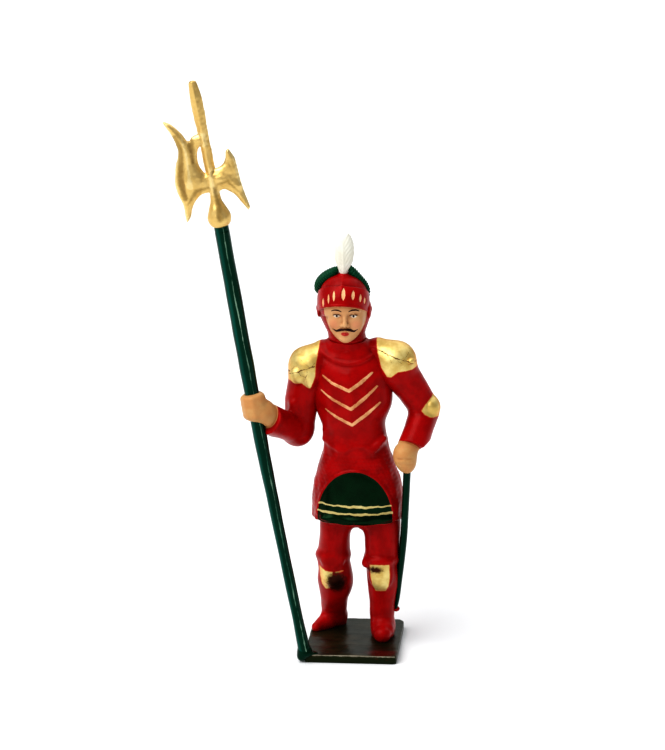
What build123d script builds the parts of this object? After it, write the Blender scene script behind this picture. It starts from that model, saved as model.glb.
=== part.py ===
from build123d import *
import os
from math import asin, cos, radians, sin

# A painted, cast metal guardsman of the 54 mm toy soldier size, on a small plate with a tall halberd.
# Millimetres, +Z up. The figure faces -Y. The origin is the middle of the plate's underside.
# "right" and "left" are the figure's own: its right hand is on the -X side and holds the halberd.

# ---- base plate ----
BASE_WIDTH = 14.2
BASE_DEPTH = 18.0
BASE_THICKNESS = 1.3
BASE_CORNER_RADIUS = 0.7
BASE_CLIPPED_CORNER_RADIUS = 1.9
BASE_EDGE_BEVEL = 0.15

# ---- figure: stations below are heights above the soles for a figure of this height ----
DRAWN_HEIGHT = 58.8
SOLE_TO_CROWN = 58.8
FOOT_STUD_RADIUS = 0.8
FOOT_STUD_LENGTH = 0.7
FOOT_STUD_CLEARANCE = 0.05

# ---- head and its turning plug ----
NECK_RADIUS = 2.7
NECK_SEAT_HEIGHT = 46.4
PLUG_RADIUS = 1.6
PLUG_LENGTH = 3.0
PLUG_CLEARANCE = 0.05
SEAT_GAP = 0.06

# ---- plume and crest ----
PLUME_PEG_RADIUS = 0.35
PLUME_PEG_LENGTH = 1.4
PLUME_PEG_CLEARANCE = 0.02

# ---- shoulders: each arm is cast apart and held by a wire pin and solder on a sloping seam ----
SHOULDER_PIN_RADIUS = 0.5
SHOULDER_PIN_LENGTH = 2.6
SHOULDER_PIN_CLEARANCE = 0.02
SHOULDER_SEAM_SLOPE = 19.0
SHOULDER_SEAM_GAP = 0.04
SHOULDER_RADIUS = 3.3
PAULDRON_TOP_RADIUS = 2.7
RIGHT_SEAM_RISE = 1.15
LEFT_SEAM_RISE = 2.05

# ---- halberd ----
SHAFT_LENGTH = 68.6
SHAFT_TOP_RADIUS = 1.15
SHAFT_WAIST_RADIUS = 0.87
SHAFT_FOOT_RADIUS = 0.98
SHAFT_BOW = 0.35
SHAFT_FOOT_IN = 0.05
SHAFT_FOOT_BACK = 0.45
GRIP_CLEARANCE = 0.03
TENON_RADIUS = 0.7
TENON_LENGTH = 2.4
TENON_CLEARANCE = 0.03
BLADE_THICKNESS = 1.1
SPIKE_WIDTH = 1.45
SPIKE_TOP = 23.6

# ---- scabbard ----
SCABBARD_WIDTH = 1.35
SCABBARD_THICKNESS = 0.9

SHAFT_SOLDER_RADIUS = 1.2
TIP_SOLDER_RADIUS = 0.62

size_share = SOLE_TO_CROWN / DRAWN_HEIGHT


def at(x, y, z):
    """A point of the figure: x and y from the plate's middle, z above the soles."""
    return Vector(x * size_share, y * size_share, BASE_THICKNESS + z * size_share)


def level_oval(x, y, z, half_x, half_y, turn=0.0):
    """A level oval through the figure: a unit disc stretched, so that every oval starts on the same side."""
    face = scale(Circle(1), by=(half_x * size_share, half_y * size_share, 1))
    return Pos(*at(x, y, z)) * (Rot(0, 0, turn) * face)


def level_loft(stations):
    """A casting's trunk or limb, lofted through level ovals."""
    return loft([level_oval(*station) for station in stations])


def taper(start, start_radius, end, end_radius):
    """A tapered limb between two balls, turned about the line that joins their centres."""
    run = (end - start).length
    lean = asin((start_radius - end_radius) / run)
    low = (start_radius * cos(lean), start_radius * sin(lean))
    high = (end_radius * cos(lean), run + end_radius * sin(lean))
    low_mid = (lean - radians(90)) / 2
    high_mid = (lean + radians(90)) / 2
    low_bend = (start_radius * cos(low_mid), start_radius * sin(low_mid))
    high_bend = (end_radius * cos(high_mid), run + end_radius * sin(high_mid))
    outline = [
        ThreePointArc((0, -start_radius), low_bend, low),
        Line(low, high),
        ThreePointArc(high, high_bend, (0, run + end_radius)),
        Line((0, run + end_radius), (0, -start_radius)),
    ]
    turned = revolve(Plane.XZ * make_face(outline), Axis.Z)
    return Plane(origin=start, z_dir=end - start) * turned


def ball(centre, half_x, half_y, half_z):
    """An egg shape: a unit ball stretched along the three axes."""
    return Pos(*centre) * scale(Sphere(1), by=(half_x, half_y, half_z))


def round_loft(points, radii):
    """A round bar of changing thickness along a gentle curve, square to it at each point."""
    faces = []
    last = len(points) - 1
    for index, (point, radius) in enumerate(zip(points, radii)):
        along = points[min(index + 1, last)] - points[max(index - 1, 0)]
        plane = Plane(origin=point, x_dir=Vector(0, 1, 0).cross(along), z_dir=along)
        faces.append(plane * Circle(radius))
    return loft(faces)


def pin_along(centre, direction, radius, length):
    """A round pin with its middle at centre."""
    return Plane(origin=centre, z_dir=direction) * Cylinder(radius, length)


# ---- where the pieces meet ----
right_shoulder = at(-6.9, 0.1, 43.2)
left_shoulder = at(6.1, 0.1, 44.3)
right_seam = right_shoulder + Vector(0, 0, RIGHT_SEAM_RISE * size_share)
left_seam = left_shoulder + Vector(0, 0, LEFT_SEAM_RISE * size_share)
right_elbow = at(-8.5, -0.6, 33.1)
left_elbow = at(11.2, 1.4, 36.2)
right_wrist = at(-12.3, -5.9, 37.3)
left_wrist = at(9.7, -2.5, 32.2)
right_grip = at(-14.6, -7.0, 39.3)
left_grip = at(8.1, -3.6, 29.9)
neck_seat = at(-1.2, 0.1, NECK_SEAT_HEIGHT)
plume_root = at(-1.8, -0.4, 58.3)
right_foot = at(-3.8, 5.0, 0)
left_foot = at(4.4, 0.8, 0)

# The shaft stands on the plate's front corner on the figure's right and passes through the right hand.
shaft_foot = Vector(
    -BASE_WIDTH / 2 + SHAFT_FOOT_IN, -BASE_DEPTH / 2 + SHAFT_FOOT_BACK, BASE_THICKNESS
)
shaft_lean = (right_grip - shaft_foot).normalized()
shaft_top = shaft_foot + shaft_lean * SHAFT_LENGTH
grip_distance = (right_grip - shaft_foot).length
# Across the shaft, in the plane of the blades, towards the figure's left.
blade_across = Vector(0, 1, 0).cross(shaft_lean).normalized()
halberd_frame = Plane(origin=shaft_top, x_dir=blade_across, z_dir=shaft_lean)


def shaft_point(distance):
    """A point on the shaft's middle line, which bows slightly away from the figure above the hand."""
    share = distance / SHAFT_LENGTH
    bow = SHAFT_BOW * sin(radians(180 * share))
    return shaft_foot + shaft_lean * distance - blade_across * bow


def shaft_bar(extra=0.0):
    """The shaft a little over length at both ends, or its hole when extra is a clearance."""
    distances = [-2.5, 3.0, 15.0, grip_distance - 6.0, grip_distance, grip_distance + 8.0]
    distances += [SHAFT_LENGTH + 1.0]
    grip_radius = (SHAFT_WAIST_RADIUS + 3 * SHAFT_TOP_RADIUS) / 4
    radii = [SHAFT_FOOT_RADIUS, SHAFT_WAIST_RADIUS, SHAFT_WAIST_RADIUS, grip_radius]
    radii += [SHAFT_TOP_RADIUS] * 3
    return round_loft([shaft_point(d) for d in distances], [r + extra for r in radii])


# ---- base plate ----
def make_base_plate():
    plate = Pos(0, 0, BASE_THICKNESS / 2) * Box(BASE_WIDTH, BASE_DEPTH, BASE_THICKNESS)
    uprights = plate.edges().filter_by(Axis.Z).sort_by(lambda e: e.center().Y - e.center().X)
    plate = fillet(uprights[:-1], BASE_CORNER_RADIUS)
    uprights = plate.edges().filter_by(Axis.Z).sort_by(lambda e: e.center().Y - e.center().X)
    plate = fillet(uprights[-1], BASE_CLIPPED_CORNER_RADIUS)
    plate = chamfer(plate.faces().sort_by(Axis.Z)[-1].edges(), BASE_EDGE_BEVEL)
    socket_radius = FOOT_STUD_RADIUS + FOOT_STUD_CLEARANCE
    socket_depth = FOOT_STUD_LENGTH + FOOT_STUD_CLEARANCE
    for foot in (right_foot, left_foot):
        middle = Pos(foot.X, foot.Y, BASE_THICKNESS - socket_depth / 2)
        plate -= middle * Cylinder(socket_radius, socket_depth)
    return plate


# ---- body casting: cuirass, mail skirt, legs and boots in one ----
TRUNK = [
    (0.5, 0.3, 19.6, 6.8, 4.9),
    (0.6, 0.3, 22.0, 6.9, 5.0),
    (0.7, 0.2, 25.5, 6.8, 4.7),
    (0.55, 0.1, 28.5, 5.9, 4.2),
    (0.45, 0.0, 31.0, 5.2, 3.7),
    (0.3, 0.0, 33.3, 4.75, 3.5),
    (-0.1, 0.0, 36.0, 4.9, 3.8),
    (-0.4, 0.0, 39.5, 5.6, 4.1),
    (-0.5, 0.0, 42.5, 6.0, 4.1),
    (-0.5, 0.1, 45.0, 5.8, 3.6),
    (-0.6, 0.2, 46.8, 5.0, 3.1),
    (-0.8, 0.3, 47.8, 3.6, 2.9),
]
# Each leg: the centres and radii of its hip, knee, calf and ankle.
# Then its boot: the middle, half length and turn.
RIGHT_LEG = [
    (-2.8, 0.5, 20.8, 2.5),
    (-3.3, 1.4, 13.2, 2.5),
    (-3.0, 2.9, 8.6, 2.35),
    (-3.2, 5.0, 3.0, 1.8),
]
RIGHT_BOOT = (-4.4, 4.7, 3.6, 48.0)
LEFT_LEG = [
    (3.9, 0.2, 20.8, 2.6),
    (4.2, 0.2, 13.2, 2.6),
    (4.3, 1.0, 8.6, 2.25),
    (4.3, 1.5, 3.0, 1.8),
]
LEFT_BOOT = (4.5, 0.2, 3.8, 90.0)
BOOT_HALF_WIDTH = 1.5
BOOT_HEIGHT = 2.7


def make_leg(joints, boot):
    """A leg in its greaves, with a long boot under it whose sole is level."""
    leg = None
    for upper, lower in zip(joints, joints[1:]):
        bone = taper(
            at(*upper[:3]), upper[3] * size_share, at(*lower[:3]), lower[3] * size_share
        )
        leg = bone if leg is None else leg + bone
    x, y, half_length, turn = boot
    shoe = ball(
        (0, 0, 0), half_length * size_share, BOOT_HALF_WIDTH * size_share, BOOT_HEIGHT * size_share
    )
    under_sole = Pos(*at(x, y, -BOOT_HEIGHT)) * Box(
        4 * half_length * size_share, 4 * half_length * size_share, 2 * BOOT_HEIGHT * size_share
    )
    return leg + (Pos(*at(x, y, 0)) * (Rot(0, 0, turn) * shoe)) - under_sole


def seam_normal(side):
    """Square to a shoulder's seam, which slopes down and out. side is -1 at the right shoulder."""
    slope = radians(SHOULDER_SEAM_SLOPE)
    return Vector(side * sin(slope), 0, cos(slope))


def above_seam(seam, side, gap):
    """The space over a shoulder's seam, starting gap above it."""
    reach = 4 * SHOULDER_RADIUS
    normal = seam_normal(side)
    centre = seam + normal * (gap + reach / 2)
    return Plane(origin=centre, x_dir=Vector(0, 1, 0), z_dir=normal) * Box(reach, reach, reach)


def shoulder_pin_place(seam, side):
    """The middle of a shoulder pin, outside the trunk and mostly in the arm."""
    return seam + Vector(side * 0.9 * size_share, 0, 0) - seam_normal(side) * 0.8 * size_share


def make_pauldron(shoulder, outer, inner, inner_radius):
    """A shoulder guard: a ball with a roll over its top that runs in towards the neck."""
    top = taper(at(*outer), PAULDRON_TOP_RADIUS * size_share, at(*inner), inner_radius * size_share)
    return Pos(*shoulder) * Sphere(SHOULDER_RADIUS * size_share) + top


def make_body():
    body = level_loft(TRUNK) + make_leg(RIGHT_LEG, RIGHT_BOOT) + make_leg(LEFT_LEG, LEFT_BOOT)
    right_pauldron = make_pauldron(right_shoulder, (-7.2, 0.1, 44.0), (-4.7, 0.2, 45.6), 2.0)
    left_pauldron = make_pauldron(left_shoulder, (6.3, 0.1, 45.1), (3.5, 0.2, 46.1), 2.1)
    body += right_pauldron & above_seam(right_seam, -1, 0)
    body += left_pauldron & above_seam(left_seam, 1, 0)
    for foot in (right_foot, left_foot):
        stud = Pos(foot.X, foot.Y, BASE_THICKNESS)
        body += stud * Cylinder(FOOT_STUD_RADIUS, 2 * FOOT_STUD_LENGTH)
    recess = Pos(neck_seat.X, neck_seat.Y, neck_seat.Z + NECK_RADIUS)
    body -= recess * Cylinder(NECK_RADIUS + PLUG_CLEARANCE, 2 * NECK_RADIUS)
    socket_depth = PLUG_LENGTH + SEAT_GAP
    socket = Pos(neck_seat.X, neck_seat.Y, neck_seat.Z - socket_depth / 2)
    body -= socket * Cylinder(PLUG_RADIUS + PLUG_CLEARANCE, socket_depth)
    return body - shoulder_pins(SHOULDER_PIN_CLEARANCE)


# ---- shoulder pins ----
def shoulder_pins(extra=0.0):
    """The two wire pins, or their holes when extra is a clearance."""
    pins = []
    for seam, side in ((right_seam, -1), (left_seam, 1)):
        place = shoulder_pin_place(seam, side)
        pin = pin_along(
            place, seam_normal(side), SHOULDER_PIN_RADIUS + extra, SHOULDER_PIN_LENGTH + 2 * extra
        )
        pins.append(pin)
    return pins[0] + pins[1]


# ---- arms ----
def make_right_arm(body):
    """The arm that holds the halberd: lower pauldron, sleeve and a fist bored for the shaft."""
    arm = taper(right_shoulder, 2.5 * size_share, right_elbow, 2.1 * size_share)
    arm += Pos(*right_shoulder) * Sphere(SHOULDER_RADIUS * size_share)
    arm += taper(right_elbow, 2.2 * size_share, right_wrist, 1.7 * size_share)
    arm += taper(right_wrist, 1.45 * size_share, right_grip, 1.9 * size_share)
    fist_centre = shaft_point(grip_distance)
    fist_radius = SHAFT_TOP_RADIUS + 1.05 * size_share
    fist = Cylinder(fist_radius, 4.7 * size_share)
    fist = fillet(fist.edges().filter_by(GeomType.CIRCLE), 0.9 * size_share)
    arm += Plane(origin=fist_centre, z_dir=shaft_lean) * fist
    arm -= above_seam(right_seam, -1, -SHOULDER_SEAM_GAP)
    arm -= shaft_bar(GRIP_CLEARANCE)
    return arm - body - shoulder_pins(SHOULDER_PIN_CLEARANCE)


def make_left_arm(body):
    """The arm set on the hip: lower pauldron, sleeve with a wide cuff and a fist on the sword."""
    arm = taper(left_shoulder, 2.5 * size_share, left_elbow, 2.2 * size_share)
    arm += Pos(*left_shoulder) * Sphere(SHOULDER_RADIUS * size_share)
    arm += taper(left_elbow, 2.25 * size_share, left_wrist, 2.4 * size_share)
    arm += ball(left_grip, 1.9 * size_share, 1.9 * size_share, 2.6 * size_share)
    arm -= above_seam(left_seam, 1, -SHOULDER_SEAM_GAP)
    return arm - body - shoulder_pins(SHOULDER_PIN_CLEARANCE)


# ---- head casting: mail neck, face and helmet with its raised visor ----
def make_head():
    neck_height = 4.0 * size_share
    neck = Pos(neck_seat.X, neck_seat.Y, neck_seat.Z + SEAT_GAP + neck_height / 2)
    head = neck * Cylinder(NECK_RADIUS, neck_height)
    plug = Pos(neck_seat.X, neck_seat.Y, neck_seat.Z + SEAT_GAP - PLUG_LENGTH / 2 + 0.5)
    head += plug * Cylinder(PLUG_RADIUS, PLUG_LENGTH + 1.0)
    head += ball(at(-1.4, -0.3, 52.6), 3.3 * size_share, 3.9 * size_share, 4.2 * size_share)
    helmet = ball(at(-1.8, 0.2, 54.3), 3.9 * size_share, 4.4 * size_share, 4.5 * size_share)
    face_gap = Pos(*at(-1.6, -4.0, 51.4)) * Box(
        7.2 * size_share, 6.4 * size_share, 6.2 * size_share
    )
    under_helmet = Pos(*at(-1.8, 0, 47.9)) * Box(
        12 * size_share, 12 * size_share, 4.4 * size_share
    )
    head += helmet - face_gap - under_helmet
    visor = ball(at(-1.8, 0.1, 54.6), 4.1 * size_share, 4.7 * size_share, 4.6 * size_share)
    visor &= Pos(*at(-1.8, -2.8, 56.1)) * Box(
        10 * size_share, 6.0 * size_share, 3.3 * size_share
    )
    head += visor
    peg_depth = PLUME_PEG_LENGTH + PLUME_PEG_CLEARANCE
    peg_hole = pin_along(
        plume_root - Vector(0, 0, peg_depth / 2 - 1.0),
        Vector(0, 0, 1),
        PLUME_PEG_RADIUS + PLUME_PEG_CLEARANCE,
        peg_depth + 2.0,
    )
    return head - peg_hole


# ---- white plume and green crest ----
PLUME = [
    (-1.8, -0.4, 58.9, 0.45, 0.45),
    (-1.8, -0.4, 59.8, 0.8, 0.7),
    (-1.75, -0.4, 61.2, 1.35, 1.0),
    (-1.7, -0.4, 62.6, 1.5, 1.0),
    (-1.6, -0.4, 64.0, 1.0, 0.75),
    (-1.5, -0.4, 64.9, 0.5, 0.4),
]
RIGHT_FEATHER = [(-2.7, 0.5, 59.2), (-4.2, 0.9, 58.2), (-5.35, 1.5, 56.8), (-5.75, 2.3, 55.3)]
LEFT_FEATHER = [(-0.5, 0.4, 59.4), (0.4, 0.8, 58.2), (1.4, 1.4, 56.9), (1.85, 2.1, 55.4)]
RIGHT_FEATHER_RADII = [0.7, 0.95, 0.85, 0.5]
LEFT_FEATHER_RADII = [0.6, 0.75, 0.65, 0.45]


def make_plume():
    plume = level_loft(PLUME)
    peg_top = at(*PLUME[0][:3]).Z + 0.2
    peg_bottom = plume_root.Z - PLUME_PEG_LENGTH + 0.6
    peg = Pos(plume_root.X, plume_root.Y, (peg_top + peg_bottom) / 2)
    return plume + peg * Cylinder(PLUME_PEG_RADIUS, peg_top - peg_bottom)


def make_crest(head, plume):
    feathers = []
    for stations, radii in ((RIGHT_FEATHER, RIGHT_FEATHER_RADII), (LEFT_FEATHER, LEFT_FEATHER_RADII)):
        points = [at(*station) for station in stations]
        feather = round_loft(points, [r * size_share for r in radii])
        feathers.append(feather - head - plume)
    return feathers[0] + feathers[1]


# ---- halberd ----
def make_shaft():
    shaft = shaft_bar()
    under_plate_top = Pos(0, 0, BASE_THICKNESS - 5) * Box(4 * BASE_WIDTH, 4 * BASE_DEPTH, 10)
    above_shaft_top = halberd_frame * (Pos(0, 0, 5) * Box(10, 10, 10))
    shaft = shaft - under_plate_top - above_shaft_top
    tenon_middle = shaft_top + shaft_lean * (TENON_LENGTH / 2 - 0.5)
    return shaft + pin_along(tenon_middle, shaft_lean, TENON_RADIUS, TENON_LENGTH + 1.0)


def flat_blade(edges):
    """A flat casting cut to an outline that lies in the halberd's plane."""
    outline = make_face(edges)
    return extrude(Plane.XZ * outline, BLADE_THICKNESS / 2, both=True)


def make_axe_blade():
    lower = Spline((0, 5.6), (-2.2, 5.4), (-3.5, 4.1), (-4.85, 1.7))
    outer = Spline((-4.85, 1.7), (-5.45, 5.5), (-5.3, 9.8), (-4.35, 13.4), (-5.7, 18.2))
    inner = Spline((-5.7, 18.2), (-3.7, 16.5), (-2.45, 14.3))
    prong = Spline((-2.45, 14.3), (-1.4, 15.0), (0, 15.2))
    prong_end = Line((0, 15.2), (0, 14.0))
    eye = Spline((0, 14.0), (-1.45, 12.6), (-1.5, 10.6), (0, 8.6))
    root = Line((0, 8.6), (0, 5.6))
    return flat_blade([lower, outer, inner, prong, prong_end, eye, root])


def make_fluke():
    root = Line((0, 5.6), (0, 9.3))
    upper = Spline((0, 9.3), (1.5, 9.5), (2.6, 10.6), (3.45, 12.1))
    outer = Spline((3.45, 12.1), (4.15, 10.0), (4.3, 7.0), (4.85, 2.3))
    lower = Spline((4.85, 2.3), (3.6, 4.0), (1.9, 5.8), (0, 5.6))
    return flat_blade([root, upper, outer, lower])


def make_socket():
    """The onion-shaped socket that caps the shaft."""
    side = Spline((1.2, 0), (1.8, 1.7), (1.25, 3.8), (0.75, 5.2), (0.7, 7.4))
    outline = [Line((0, 0), (1.2, 0)), side, Line((0.7, 7.4), (0, 7.4)), Line((0, 7.4), (0, 0))]
    return revolve(Plane.XZ * make_face(outline), Axis.Z)


def make_spike():
    half = SPIKE_WIDTH / 2
    foot = Pos(0, 0, 5.0) * (Rot(0, 0, 45) * Rectangle(half * 1.45, half * 1.45))
    shoulder = Pos(0, 0, SPIKE_TOP - 1.0) * (Rot(0, 0, 45) * Rectangle(half * 1.25, half * 1.25))
    tip = Pos(0, 0, SPIKE_TOP) * (Rot(0, 0, 45) * Rectangle(half * 0.6, half * 0.6))
    return loft([foot, shoulder], ruled=True) + loft([shoulder, tip], ruled=True)


def make_halberd_head():
    casting = make_socket() + make_axe_blade() + make_fluke() + make_spike()
    mortise_depth = TENON_LENGTH + TENON_CLEARANCE
    mortise = Pos(0, 0, mortise_depth / 2) * Cylinder(TENON_RADIUS + TENON_CLEARANCE, mortise_depth)
    return halberd_frame * (casting - mortise)


# ---- sword in its scabbard ----
SCABBARD = [
    (8.5, -3.4, 27.9),
    (8.1, -1.9, 21.2),
    (7.85, -1.0, 17.2),
    (7.65, -0.2, 13.3),
    (7.3, 0.5, 9.4),
    (6.95, 1.0, 6.3),
    (6.7, 1.3, 4.4),
]
SCABBARD_SHARES = [1.0, 0.95, 0.95, 0.95, 0.9, 0.75, 0.35]


def make_scabbard(body, left_arm):
    ovals = []
    for (x, y, z), share in zip(SCABBARD, SCABBARD_SHARES):
        half_x = SCABBARD_THICKNESS / 2 * share / size_share
        half_y = SCABBARD_WIDTH / 2 * share / size_share
        ovals.append(level_oval(x, y, z, half_x, half_y))
    return loft(ovals) - body - left_arm


# ---- solder ----
def make_shaft_foot_solder(plate, shaft):
    """The bead that holds the shaft's foot on the plate's corner."""
    return Pos(*shaft_foot) * Sphere(SHAFT_SOLDER_RADIUS) - plate - shaft


def make_scabbard_tip_solder(body, scabbard):
    """The drop that holds the scabbard's tip to the boot."""
    return Pos(*at(6.35, 1.35, 4.3)) * Sphere(TIP_SOLDER_RADIUS) - body - scabbard


base_plate = make_base_plate()
body_casting = make_body()
right_arm = make_right_arm(body_casting)
left_arm = make_left_arm(body_casting)
head_casting = make_head()
plume = make_plume()
crest = make_crest(head_casting, plume)
shaft = make_shaft()
scabbard = make_scabbard(body_casting, left_arm)

PARTS = {
    "base_plate": base_plate,
    "body_casting": body_casting,
    "right_arm": right_arm,
    "left_arm": left_arm,
    "shoulder_pins": shoulder_pins(),
    "head_casting": head_casting,
    "white_plume": plume,
    "green_crest": crest,
    "halberd_shaft": shaft,
    "halberd_head": make_halberd_head(),
    "sword_scabbard": scabbard,
    "shaft_foot_solder": make_shaft_foot_solder(base_plate, shaft),
    "scabbard_tip_solder": make_scabbard_tip_solder(body_casting, scabbard),
}

os.makedirs("parts", exist_ok=True)
for name, shape in PARTS.items():
    export_step(shape, f"parts/{name}.step")
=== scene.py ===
import bpy
import numpy as np
import openvdb
from math import cos, pi, radians, sin
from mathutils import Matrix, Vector


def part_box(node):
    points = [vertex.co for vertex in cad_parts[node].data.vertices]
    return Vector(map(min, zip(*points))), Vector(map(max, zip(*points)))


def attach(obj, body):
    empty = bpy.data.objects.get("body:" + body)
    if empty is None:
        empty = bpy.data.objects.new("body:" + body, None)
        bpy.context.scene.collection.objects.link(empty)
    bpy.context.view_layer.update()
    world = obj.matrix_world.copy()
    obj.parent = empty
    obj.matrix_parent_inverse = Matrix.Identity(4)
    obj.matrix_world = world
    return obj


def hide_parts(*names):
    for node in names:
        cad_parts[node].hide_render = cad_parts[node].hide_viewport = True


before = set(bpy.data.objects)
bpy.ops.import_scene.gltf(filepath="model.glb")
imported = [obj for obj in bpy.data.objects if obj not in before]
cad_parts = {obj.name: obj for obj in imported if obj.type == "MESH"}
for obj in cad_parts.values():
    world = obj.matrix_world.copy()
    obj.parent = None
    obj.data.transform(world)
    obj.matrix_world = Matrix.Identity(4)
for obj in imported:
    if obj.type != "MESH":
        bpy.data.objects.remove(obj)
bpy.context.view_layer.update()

# ---- Camera ----
# A long lens a little above the figure and slightly towards its left side,
# as for a small model standing on a table.
MM = 0.001
camera_data = bpy.data.cameras.new("camera")
camera_data.lens = 528.9
camera_data.sensor_width = 36.0
camera_data.sensor_fit = "HORIZONTAL"
camera = bpy.data.objects.new("camera", camera_data)
bpy.context.scene.collection.objects.link(camera)
CAMERA_AZIMUTH, CAMERA_ELEVATION, CAMERA_DISTANCE = radians(4.3), radians(17.5), 1500 * MM
camera_target = Vector((-3.48, 0.0, 43.7)) * MM
camera_way = Vector((
    sin(CAMERA_AZIMUTH) * cos(CAMERA_ELEVATION),
    -cos(CAMERA_AZIMUTH) * cos(CAMERA_ELEVATION),
    sin(CAMERA_ELEVATION),
))
camera.location = camera_target + camera_way * CAMERA_DISTANCE
camera.rotation_euler = (-camera_way).to_track_quat("-Z", "Y").to_euler()
camera_data.clip_start = 0.01
bpy.context.scene.camera = camera


# ---- Base plate ----
# A small cast plate that the boots are fixed to, poured flat and trimmed by hand, so its edges waver.
# Brown-black enamel over green, rubbed to bare metal along the front edge.
FAR = 4.0
plate_low, plate_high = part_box("base_plate")
SOLES = plate_high.z / MM


def block(centre, half, rounding, spin=0):
    """A block of clay with rounded edges, turned about the upright by some degrees."""
    reach = float(np.linalg.norm(half))
    c, s = cos(radians(spin)), sin(radians(spin))

    def distance(x, y, z):
        x, y = x - centre[0], y - centre[1]
        away = (c * x + s * y, c * y - s * x, z - centre[2])
        over = [abs(a) - (h - rounding) for a, h in zip(away, half)]
        outside = np.sqrt(sum(np.maximum(o, 0) ** 2 for o in over))
        inside = np.minimum(np.maximum(np.maximum(over[0], over[1]), over[2]), 0)
        return outside + inside - rounding

    middle = np.array(centre, float)
    return distance, middle - reach, middle + reach


def soft_least(a, b, blend):
    """The smaller of two distances, with the corner between them filled to the blend's width."""
    if blend <= 0:
        return np.minimum(a, b)
    mix = np.maximum(blend - abs(a - b), 0) / blend
    return np.minimum(a, b) - mix * mix * blend / 4


class Clay:
    """Modelling clay on a fine grid of distances to its surface, in millimetres above the soles."""

    def __init__(self, low, high, grain):
        self.low, self.grain = np.array(low, float), grain
        self.counts = np.ceil((np.array(high) - self.low) / grain).astype(int) + 1
        self.distance = np.full(self.counts, FAR, np.float32)

    def patch(self, low, high, margin):
        """The part of the grid around a shape, and its grid lines."""
        first = np.floor((np.array(low) - margin - self.low) / self.grain).astype(int)
        last = np.ceil((np.array(high) + margin - self.low) / self.grain).astype(int) + 1
        first, last = np.clip(first, 0, self.counts), np.clip(last, 0, self.counts)
        lines = [
            (self.low[i] + self.grain * np.arange(first[i], last[i])).astype(np.float32)
            for i in range(3)
        ]
        grid = (lines[0][:, None, None], lines[1][None, :, None], lines[2][None, None, :])
        return tuple(slice(a, b) for a, b in zip(first, last)), grid

    def add(self, shape, blend=0.0):
        """Presses a shape on, with a fillet of the blend's width where it joins."""
        distance, low, high = shape
        where, grid = self.patch(low, high, blend + 5 * self.grain)
        self.distance[where] = soft_least(self.distance[where], distance(*grid), blend)

    def cut(self, shape, blend=0.0):
        """Cuts a shape out, with its edge rounded over the blend's width."""
        distance, low, high = shape
        where, grid = self.patch(low, high, blend + 5 * self.grain)
        self.distance[where] = -soft_least(-self.distance[where], distance(*grid), blend)

    def swell(self, height, low, high):
        """Raises the surface inside a box by a height worked out at each point."""
        where, grid = self.patch(low, high, 0)
        self.distance[where] -= height(*grid).astype(np.float32)

    def hollows(self, reach):
        """How far each point's surroundings stand proud of it: above 0 in a groove, below on a ridge."""
        width = max(int(reach / self.grain) | 1, 3)
        soft = np.clip(self.distance, -FAR / 2, FAR / 2)
        for axis in range(3):
            pad = [(0, 0)] * 3
            pad[axis] = (width // 2 + 1, width // 2)
            total = np.cumsum(np.pad(soft, pad, mode="edge"), axis=axis, dtype=np.float32)
            upper = [slice(None)] * 3
            lower = [slice(None)] * 3
            upper[axis], lower[axis] = slice(width, None), slice(None, -width)
            soft = (total[tuple(upper)] - total[tuple(lower)]) / width
        return -soft

    def sample(self, values, points):
        """Values of a grid at points, from the eight grid points round each."""
        place = (points - self.low) / self.grain
        first = np.clip(np.floor(place).astype(int), 0, self.counts - 2)
        share = place - first
        result = 0
        for corner in range(8):
            step = np.array([corner & 1, corner >> 1 & 1, corner >> 2])
            weight = np.prod(np.where(step, share, 1 - share), axis=1)
            result = result + weight * values[tuple((first + step).T)]
        return result

    def surface(self):
        """Corner points and four-cornered faces of the clay's surface."""
        grid = openvdb.FloatGrid(background=FAR)
        grid.copyFromArray(self.distance)
        points, _, quads = grid.convertToPolygons(isovalue=0, adaptivity=0)
        return points * self.grain + self.low, quads[:, ::-1]


def cast_piece(name, clay, body, nodes, material, paint=None, place=None):
    """Casts the clay as one closed mesh, marks where each paint goes and puts it in the nodes' place."""
    points, quads = clay.surface()
    mesh = bpy.data.meshes.new(name)
    mesh.vertices.add(len(points))
    mesh.loops.add(quads.size)
    mesh.polygons.add(len(quads))
    world = points if place is None else place(points)
    world = (world + np.array([0, 0, SOLES])) * MM
    mesh.vertices.foreach_set("co", world.astype(np.float32).ravel())
    mesh.loops.foreach_set("vertex_index", quads.astype(np.int32).ravel())
    mesh.polygons.foreach_set("loop_start", np.arange(0, quads.size, 4, dtype=np.int32))
    mesh.update(calc_edges=True)
    mesh.polygons.foreach_set("use_smooth", np.ones(len(quads), bool))
    marks = {"hollow": clay.sample(clay.hollows(0.9), points)}
    marks.update(paint(*points.T) if paint else {})
    for mark, values in marks.items():
        layer = mesh.attributes.new(mark, "FLOAT", "POINT")
        layer.data.foreach_set("value", np.clip(values, -FAR, FAR).astype(np.float32))
    mesh.materials.append(material)
    piece = bpy.data.objects.new(name, mesh)
    bpy.context.scene.collection.objects.link(piece)
    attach(piece, body)
    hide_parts(*nodes)


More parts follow.
